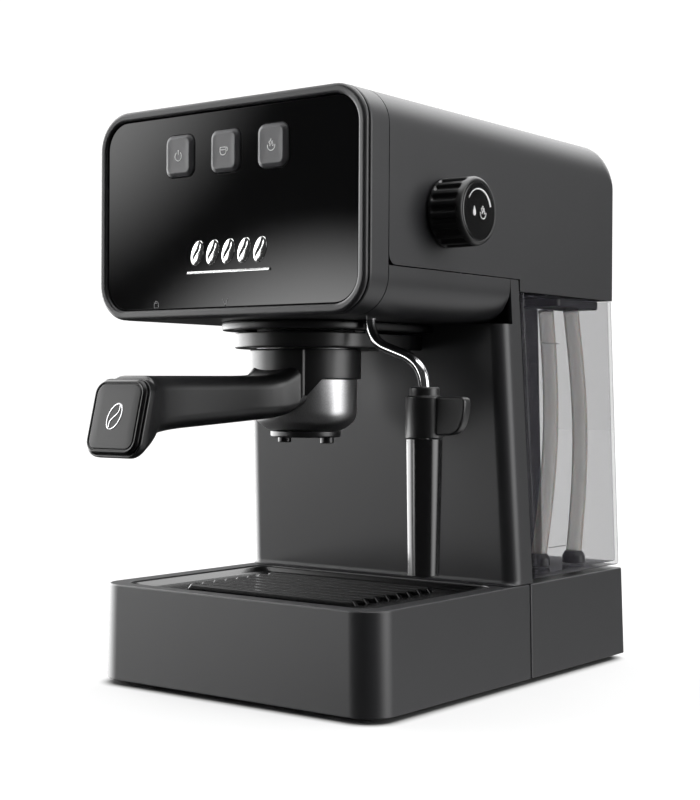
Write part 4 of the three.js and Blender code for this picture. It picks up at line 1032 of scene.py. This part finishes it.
# The collar is a ring whose lower edge dips towards the handle; radii and levels by bearing.
def collarRing():
    turn = np.arange(144) / 144 * 2 * np.pi - np.pi / 2
    off = np.degrees(np.abs((turn + np.pi / 2 + np.pi) % (2 * np.pi) - np.pi))
    bottom = cup["collarLow"] - handle["dip"] * np.clip((56 - off) / 16, 0, 1)
    top = cup["collarHigh"]
    inner, outer = handle["bore"], handle["collar"]
    corners = [onGroup(turn, radius, z) for radius, z in
               ((inner, bottom), (outer, bottom), (outer, top), (inner, top))]
    return loft(corners, [0.3, 0.7, 0.7, 0.3], closed=True)


# The saddle is a thicker stretch of the collar where the handle joins it.
def saddle():
    share = np.linspace(-1, 1, 41)
    turn = -np.pi / 2 + np.radians(handle["saddleHalf"]) * share
    edge = np.clip((np.abs(share) - 0.94) / 0.06, 0, 1)
    outer = handle["saddle"] - 1.6 * (1 - np.sqrt(1 - edge ** 2))
    bottom = 164 + 11.5 * share ** 2
    inside, top = handle["collar"] - 0.5, cup["collarHigh"] - 0.2
    corners = [onGroup(turn, radius, z) for radius, z in
               ((inside, bottom), (outer, bottom), (outer, top), (inside, top))]
    return skin(soften(corners, [0.2, 0.6, 1.2, 0.2], closed=True).transpose(1, 0, 2))


piece("handle_grip", [handleBeam(), collarRing(), saddle()], mattPolyamide, "portafilter",
      stands="handle")
capRings = [onCap(capLoop(inset), depth) for inset, depth in
            ((1.0, handle["capThick"] - 0.1), (1.0, 1.3), (1.3, 0.9), (2.3, 0.0), (3.0, 0.0), (3.3, 0.45),
             (3.8, 0.45), (4.2, 0.05), (9.0, -0.15))]
piece("handle_cap_gloss", [loft(capRings, [0, 0.2, 0.2, 0.35, 0.15, 0.1, 0.1, 0.3, 0])], capPlastic,
      "portafilter", stands="handle_cap")


# The cap's mark is a bean outline with its crease, raised a little.
def capMark():
    turn = np.arange(48) / 48 * 2 * np.pi
    lean = np.radians(24)
    oval = np.stack([4.4 * np.cos(turn), 7.2 * np.sin(turn)], -1)
    t = np.linspace(-1, 1, 24)
    crease = np.stack([1.3 * np.sin(t * 3.0), 7.0 * t], -1)
    spin = np.array([[np.cos(lean), -np.sin(lean)], [np.sin(lean), np.cos(lean)]])
    parts = []
    for path, closed in ((oval, True), (crease, False)):
        verts, faces = ribbon(path @ spin, 0.75, -0.3, 0.5, closed)
        parts.append((onCap(verts[:, [0, 2]], verts[:, 1:2]), faces))
    return parts


piece("handle_cap_mark", capMark(), pressedSteel, "portafilter")
print("stage: group and filter holder done")

# steam knob: flutes round a drum, a smooth nose and a dished cap
knob = {"radius": high("steam_knob")[1] - groupY, "base": low("steam_knob")[0], "face": high("knob_cap")[0],
        "ribs": 18, "depth": 1.7, "cap": 16.3}


# Radius by bearing and by place along the knob: flutes are a raised cosine, narrow at the
# bottom, and fade out before both ends. Rows are (place, radius, how deep the flutes are).
def knobDrum():
    b, f, r = knob["base"], knob["face"], knob["radius"]
    rows = [(b, r - 3, 0), (b, r - 0.5, 0), (b + 0.4, r, 0), (b + 1.6, r, 0), (b + 2.2, r, 1), (b + 9, r, 1),
            (f - 4.6, r, 1), (f - 3.4, r, 0.35), (f - 2.6, r - 0.15, 0), (f - 1.2, r - 0.7, 0),
            (f - 0.3, r - 1.8, 0), (f - 0.1, r - 2.6, 0), (f - 0.6, r - 3.0, 0), (f - 1.4, r - 3.1, 0)]
    turn = np.arange(knob["ribs"] * 14) / (knob["ribs"] * 14) * 2 * np.pi
    flute = np.clip(0.62 - np.cos(turn * knob["ribs"]) * 0.9, 0, 1) ** 0.8
    x, radius, mask = (np.array(column)[:, None] for column in zip(*rows))
    out = radius - knob["depth"] * mask * (1 - flute)
    grid = np.stack([x + 0 * out, groupY + out * np.cos(turn), knobCentreZ + out * np.sin(turn)], -1)
    return skin(grid)


piece("steam_knob_drum", [knobDrum()], mattPolyamide, "steam_tap", stands="steam_knob")
capFace = knob["face"]
dish = turned([(knob["cap"], capFace - 1.2), (knob["cap"], capFace - 0.3), (knob["cap"] - 1.0, capFace - 0.1),
               (6, capFace - 0.5)], [0, 0.2, 0.6, 0], (0, groupY, knobCentreZ), "x", 72)
piece("steam_knob_cap", [dish],
      gridPlastic, "steam_tap", stands="knob_cap")


# Drawn as if on the front, then turned to face right: across becomes y, depth becomes x.
def onKnob(part):
    verts, faces = part
    return np.stack([capFace - verts[:, 1], groupY + verts[:, 0], knobCentreZ + verts[:, 2]], -1), faces


def growingArc(radius, start, end, wide, count=40):     # a band that widens along its way
    turn = np.radians(np.linspace(start, end, count))
    width = np.linspace(0.25, wide, count) / 2
    ring = np.stack([np.cos(turn), np.sin(turn)], -1)
    corners = [ring * (radius + width)[:, None], ring * (radius - width)[:, None]]
    loops = [(corners[0], -0.02), (corners[1], -0.02), (corners[1], 0.45), (corners[0], 0.45)]
    grid = np.stack([np.column_stack([c[:, 0], np.full(count, d), c[:, 1]]) for c, d in loops], 1)
    return skin(grid)


dropTurn = np.arange(40) / 40 * 2 * np.pi
dropLoop = np.stack([-4.8 + 2.0 * np.sin(dropTurn) * np.clip(np.sin(dropTurn / 2), 0, 1) ** 1.5,
                     -0.2 + 2.8 * np.cos(dropTurn)], -1)
dropPart = prism(dropLoop, -0.02, 0.45, "y")
knobMarks = [growingArc(12.2, 150, 15, 1.5), dropPart,
             *(ribbon(path, 0.6, -0.02, 0.45) for path in steamIcon(4.2, -0.8, 1.1))]
piece("steam_knob_marks", [onKnob(part) for part in knobMarks], markInk, "steam_tap")

# steam pipe, grip and froth sleeve
wand = {"reach": 38.5, "pipe": 3.25, "sleeveLow": low("wand_sleeve")[2], "gripLow": low("wand_grip")[2],
        "gripHigh": headFloor - 44.0, "grip": 10.8, "nub": 8.5, "tab": 29.0}
tipX = pipeSpot[0] + wand["reach"]
corners = [(pipeSpot[0], pipeSpot[1], headFloor + 26), (pipeSpot[0], pipeSpot[1], headFloor - 12.1),
           (tipX, pipeSpot[1], headFloor - 25.6), (tipX, pipeSpot[1], wand["sleeveLow"] + 26)]
pipePath = resample(bent(corners, [13, 15], 16), 90)
ball = turned([(1, -7), (4.4, -5.4), (6.8, -2), (6.8, 2), (4.4, 5.4), (1, 7)], [0, 2, 2, 2, 2, 0],
              (*pipeSpot, headFloor + 10), count=40)
nozzle = turned([(3.0, -8), (4.2, -7), (4.2, 0), (3.4, 1)], [0, 0.4, 0.4, 0], corners[-1], count=40)
piece("steam_pipe_bent", [tubeAlong(pipePath, wand["pipe"], 32), ball, nozzle], chromedTube,
      "steam_wand", stands="steam_pipe")

gripTop, gripLow, gripBore = wand["gripHigh"], wand["gripLow"], wand["pipe"] + 0.3
gripProfile = [(gripBore, gripLow), (wand["grip"], gripLow), (wand["grip"], gripTop),
               (wand["nub"], gripTop + 0.3), (wand["nub"], gripTop + 5.4), (gripBore, gripTop + 5.4)]
tabCorners = [(tipX + 5, gripLow + 1.5), (tipX + 20, gripLow + 1.8), (tipX + 26, gripLow + 5),
              (tipX + wand["tab"], gripLow + 15), (tipX + wand["tab"], gripTop), (tipX + 5, gripTop)]
tabLoop = soften(np.array(tabCorners)[:, None], [0.5, 3, 5, 6, 3.2, 0.5], closed=True)[:, 0]
tabMiddle = tabLoop.mean(0)
tabRings = [lay(tabMiddle + (tabLoop - tabMiddle) * scale, pipeSpot[1] + y, "y")
            for scale, y in ((0.86, -3.5), (0.96, -3.3), (1, -2.2), (1, 2.2), (0.96, 3.3), (0.86, 3.5))]
grip = turned(gripProfile, [0.2, 0.6, 0.9, 0.4, 1.4, 0.4], (tipX, pipeSpot[1], 0), count=72, closed=True)
piece("steam_wand_grip", [grip, loft(tabRings, [0, 0.4, 0.6, 0.6, 0.4, 0])],
      mattPolyamide, "steam_wand", stands="wand_grip")
sleeveTop = gripLow - 0.3
sleeve = turned([(7, wand["sleeveLow"]), (8.9, wand["sleeveLow"]), (9.7, 110), (10.4, sleeveTop),
                 (7.4, sleeveTop)], [0.3, 0.7, 20, 0.4, 0.3], (tipX, pipeSpot[1], 0), count=72, closed=True)
piece("froth_sleeve", [sleeve],
      sleevePlastic, "steam_wand", stands="wand_sleeve")
print("stage: knob and steam wand done")

# water tank with its tubes
tank = {"wall": 2.2, "low": low("water_tank")[2], "high": high("water_tank")[2], "play": 1.7,
        "front": bayFront + 2.3, "radii": (3, 3.5, 5, 3), "markY": (180, 203), "markZ": (208.5, 81.0)}


# The tank's plan, drawn in by an inset; it widens and leans like the casing round it.
def tankLoop(inset, z):
    r = [max(value - inset, 0.8) for value in tank["radii"]]
    return settle(lay(roundLoop(bayLeft + tank["play"] + inset, half - inset, tank["front"] + inset,
                                bodyBack - inset, r, 8), z))


innerFloor = tank["low"] + tank["wall"]
outside = [tankLoop(0, z) for z in np.linspace(tank["high"], tank["low"], 9)]
inside = [tankLoop(tank["wall"], z) for z in np.linspace(innerFloor, tank["high"], 9)]
# Each skin is softened at its floor alone: up the inside, over the rim and down the outside.
outerSkin = soften([*outside, tankLoop(6, tank["low"])], [0] * 8 + [2.2, 0])
innerSkin = soften([tankLoop(7, innerFloor), *inside], [0, 1.5] + [0] * 8)
piece("water_tank_clear", [skin(np.concatenate([innerSkin, outerSkin]))], tankPlastic, "tank",
      stands="water_tank")


def onTank(y0, y1, z, wide):      # a printed level line on the tank's right wall
    y = np.linspace(y0, y1, 8)
    near, far, foot, top = half + 0.02, half + 0.15, z - wide / 2, z + wide / 2
    rows = np.array([[(near, v, foot), (near, v, top), (far, v, top), (far, v, foot)] for v in y])
    return skin(settle(rows))


piece("tank_level_marks", [onTank(*tank["markY"], z, 0.5) for z in tank["markZ"]], keyPlastic, "tank")

# Each tube hangs in a half sine's bow and ends its foot's length to the rear.
for node, start, bow, foot in (("suction_tube", 5, 12, 6), ("return_tube", 17, 9, -7)):
    top, bottom = high(node)[2], low(node)[2]
    t = np.linspace(0, 1, 60)
    x = middle(node)[0] + 0 * t
    y = low(node)[1] + start + bow * np.sin(np.pi * t) + foot * t ** 2
    tube = tubeAlong(np.stack([x, y, top + (bottom - top) * t], -1), 5.0, 28)
    piece(node + "_silicone", [tube], tubeSilicone, "tank", stands=node)
    strainer = turned([(4, bottom - 5.5), (7.4, bottom - 5.5), (7.4, bottom - 0.5), (5.5, bottom + 2.5),
                       (4.9, bottom + 2.5)], [0, 0.8, 1.0, 0.4, 0], (x[0], y[-1], 0), count=36)
    piece(node + "_strainer", [strainer], mattPolyamide, "tank")

holderLow, holderHigh = low("tube_holder"), high("tube_holder")
holder = stack(drawnIn(holderLow[0], holderHigh[0], holderLow[1], holderHigh[1], 4),
               ((0.6, holderLow[2]), (0, holderLow[2] + 0.6), (0, holderHigh[2] - 0.6), (0.6, holderHigh[2])),
               [0, 0.3, 0.3, 0])
piece("tube_holder_plate", [holder], mattPolyamide, "tank",
      stands="tube_holder")
print("stage: tank done")


# stage and light
# Soft boxes stand far round the machine: each is a direction, the half angles inside which it
# is full and outside which it is gone, and its strength.
studio = {"ambient": 0.05, "below": 0.05, "backdrop": 1.12, "boxes": {
    "left": ((-0.97, 0.02, 0.24), 18, 42, 7.2), "leftLow": ((-0.90, -0.42, -0.06), 6, 18, 2.6),
    "right": ((0.93, 0.32, 0.17), 8, 31, 5.0), "rightLow": ((0.40, 0.76, -0.52), 8, 26, 1.1),
    "top": ((0.1, 0.15, 1.0), 18, 46, 4.0), "rear": ((-0.15, 0.80, 0.52), 10, 34, 2.6),
    "panelHigh": ((-0.79, -0.61, 0.26), 3, 13, 4.6), "panelLow": ((-0.61, -0.79, -0.04), 3, 9, 6.0)}}


# The light from a direction is the ambient level plus every soft box that it falls in.
def studioWorld():
    world = bpy.data.worlds.new("studio")
    bpy.context.scene.world = world
    world.use_nodes = True
    world.cycles.sampling_method = "NONE"
    tree = world.node_tree
    background = tree.nodes["Background"]
    background.inputs["Color"].default_value = (1, 1, 1, 1)
    toward = add(tree, "TexCoord").outputs["Generated"]
    height = add(tree, "SeparateXYZ", {"Vector": toward}).outputs["Z"]
    total = add(tree, "MapRange", {"Value": height, "From Min": -0.1, "From Max": 0.1,
                                   "To Min": studio["below"], "To Max": studio["ambient"]}).outputs["Result"]
    for direction, inner, outer, strength in studio["boxes"].values():
        unit = Vector(direction).normalized()
        facing = add(tree, "VectorMath", {0: toward, 1: unit}, operation="DOT_PRODUCT")
        glow = add(tree, "MapRange", {"Value": facing.outputs["Value"], "From Min": np.cos(np.radians(outer)),
                                      "From Max": np.cos(np.radians(inner)), "To Max": strength},
                   interpolation_type="SMOOTHSTEP")
        total = add(tree, "Math", {0: total, 1: glow.outputs["Result"]}, operation="ADD").outputs["Value"]
    seen = add(tree, "LightPath").outputs["Is Camera Ray"]
    shown = add(tree, "Mix", {"Factor": seen, "A": total, "B": studio["backdrop"]})
    tree.links.new(shown.outputs["Result"], background.inputs["Strength"])


# reach is in millimetres; fade and round size the painted contact shadow and are in metres, as the shader
# works in them
stage = {"reach": 6000.0, "glow": 0.70, "fade": 0.007, "round": 0.018, "white": "#7c7c7c"}


# A wide level sheet, partly lit from itself so that it stays as pale as the backdrop.
def studioFloor():
    across = np.linspace(-stage["reach"], stage["reach"], 3)
    x, y = np.meshgrid(across, across, indexing="ij")
    verts, faces = skin(np.stack([x, y, np.zeros_like(x) - 0.05], -1), around=False, caps=False)
    floor = newObject("studio_floor", [(verts, faces)])
    material, tree, shader = newFinish("pale paper floor", roughness=0.9, specular_ior_level=0.0,
                                       emission_strength=stage["glow"])
    place = add(tree, "TexCoord").outputs["Object"]
    fibre = add(tree, "TexNoise", {"Vector": place, "Scale": grainSize(60)})
    wire(tree, shader, Base_Color=ramp(tree, fibre, stage["white"], "#808080"))
    # the sheet's own light fades out under the base and round its footprint: a painted contact shadow
    foot = toMetres(np.array([low("drip_tray"), high("base_rear")]))
    beside = add(tree, "VectorMath", {0: place, 1: Vector(foot.mean(0))}, operation="SUBTRACT")
    beside = add(tree, "VectorMath", {0: beside.outputs["Vector"]}, operation="ABSOLUTE")
    core = np.append((foot[1] - foot[0])[:2] / 2 - stage["round"], 1.0)
    beside = add(tree, "VectorMath", {0: beside.outputs["Vector"], 1: Vector(core)}, operation="SUBTRACT")
    beside = add(tree, "VectorMath", {0: beside.outputs["Vector"]}, operation="MAXIMUM")
    away = add(tree, "VectorMath", {0: beside.outputs["Vector"]}, operation="LENGTH")
    fade = add(tree, "MapRange", {"Value": away.outputs["Value"], "From Min": stage["round"] - 0.004,
                                  "From Max": stage["round"] + stage["fade"],
                                  "To Min": 0.0, "To Max": stage["glow"]}, interpolation_type="SMOOTHSTEP")
    wire(tree, shader, Emission_Strength=fade.outputs["Result"])
    shader.inputs["Emission Color"].default_value = (1, 1, 1, 1)
    floor.data.materials.append(material)
    floor.visible_diffuse = False
    floor.visible_glossy = False


studioWorld()
studioFloor()
bpy.context.scene.view_settings.view_transform = "Standard"


# the frame's own pieces that stay, each in its finish
stays = {
    boardResin: ["button_board", "power_board"],
    turnedBrass: ["brew_head", "brew_thermostat", "steam_thermostat", "steam_valve", "wand_socket"],
    pressedSteel: ["shower_screen", "screen_screw", "filter_basket", "heating_element", "thermal_fuse",
                   "valve_stem", "steam_feed_pipe"],
    castAluminium: ["boiler_lower", "boiler_upper"],
    redSilicone: ["boiler_gasket"],
    footRubber: ["group_gasket", "pump_mount_lower", "pump_mount_upper"],
    tubeSilicone: ["suction_hose", "pressure_hose"],
    mattPolyamide: ["base_plate", "pump", "tube_coupling", "fill_chute"]}
for material, names in stays.items():
    for name in names:
        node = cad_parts[name]
        node.data.materials.clear()
        node.data.materials.append(material)
shown = [o.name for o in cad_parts.values() if not o.hide_render]
bare = sorted(set(shown) - {name for names in stays.values() for name in names})
print("stage: frame pieces with a finish:", len(shown) - len(bare), "without:", bare)
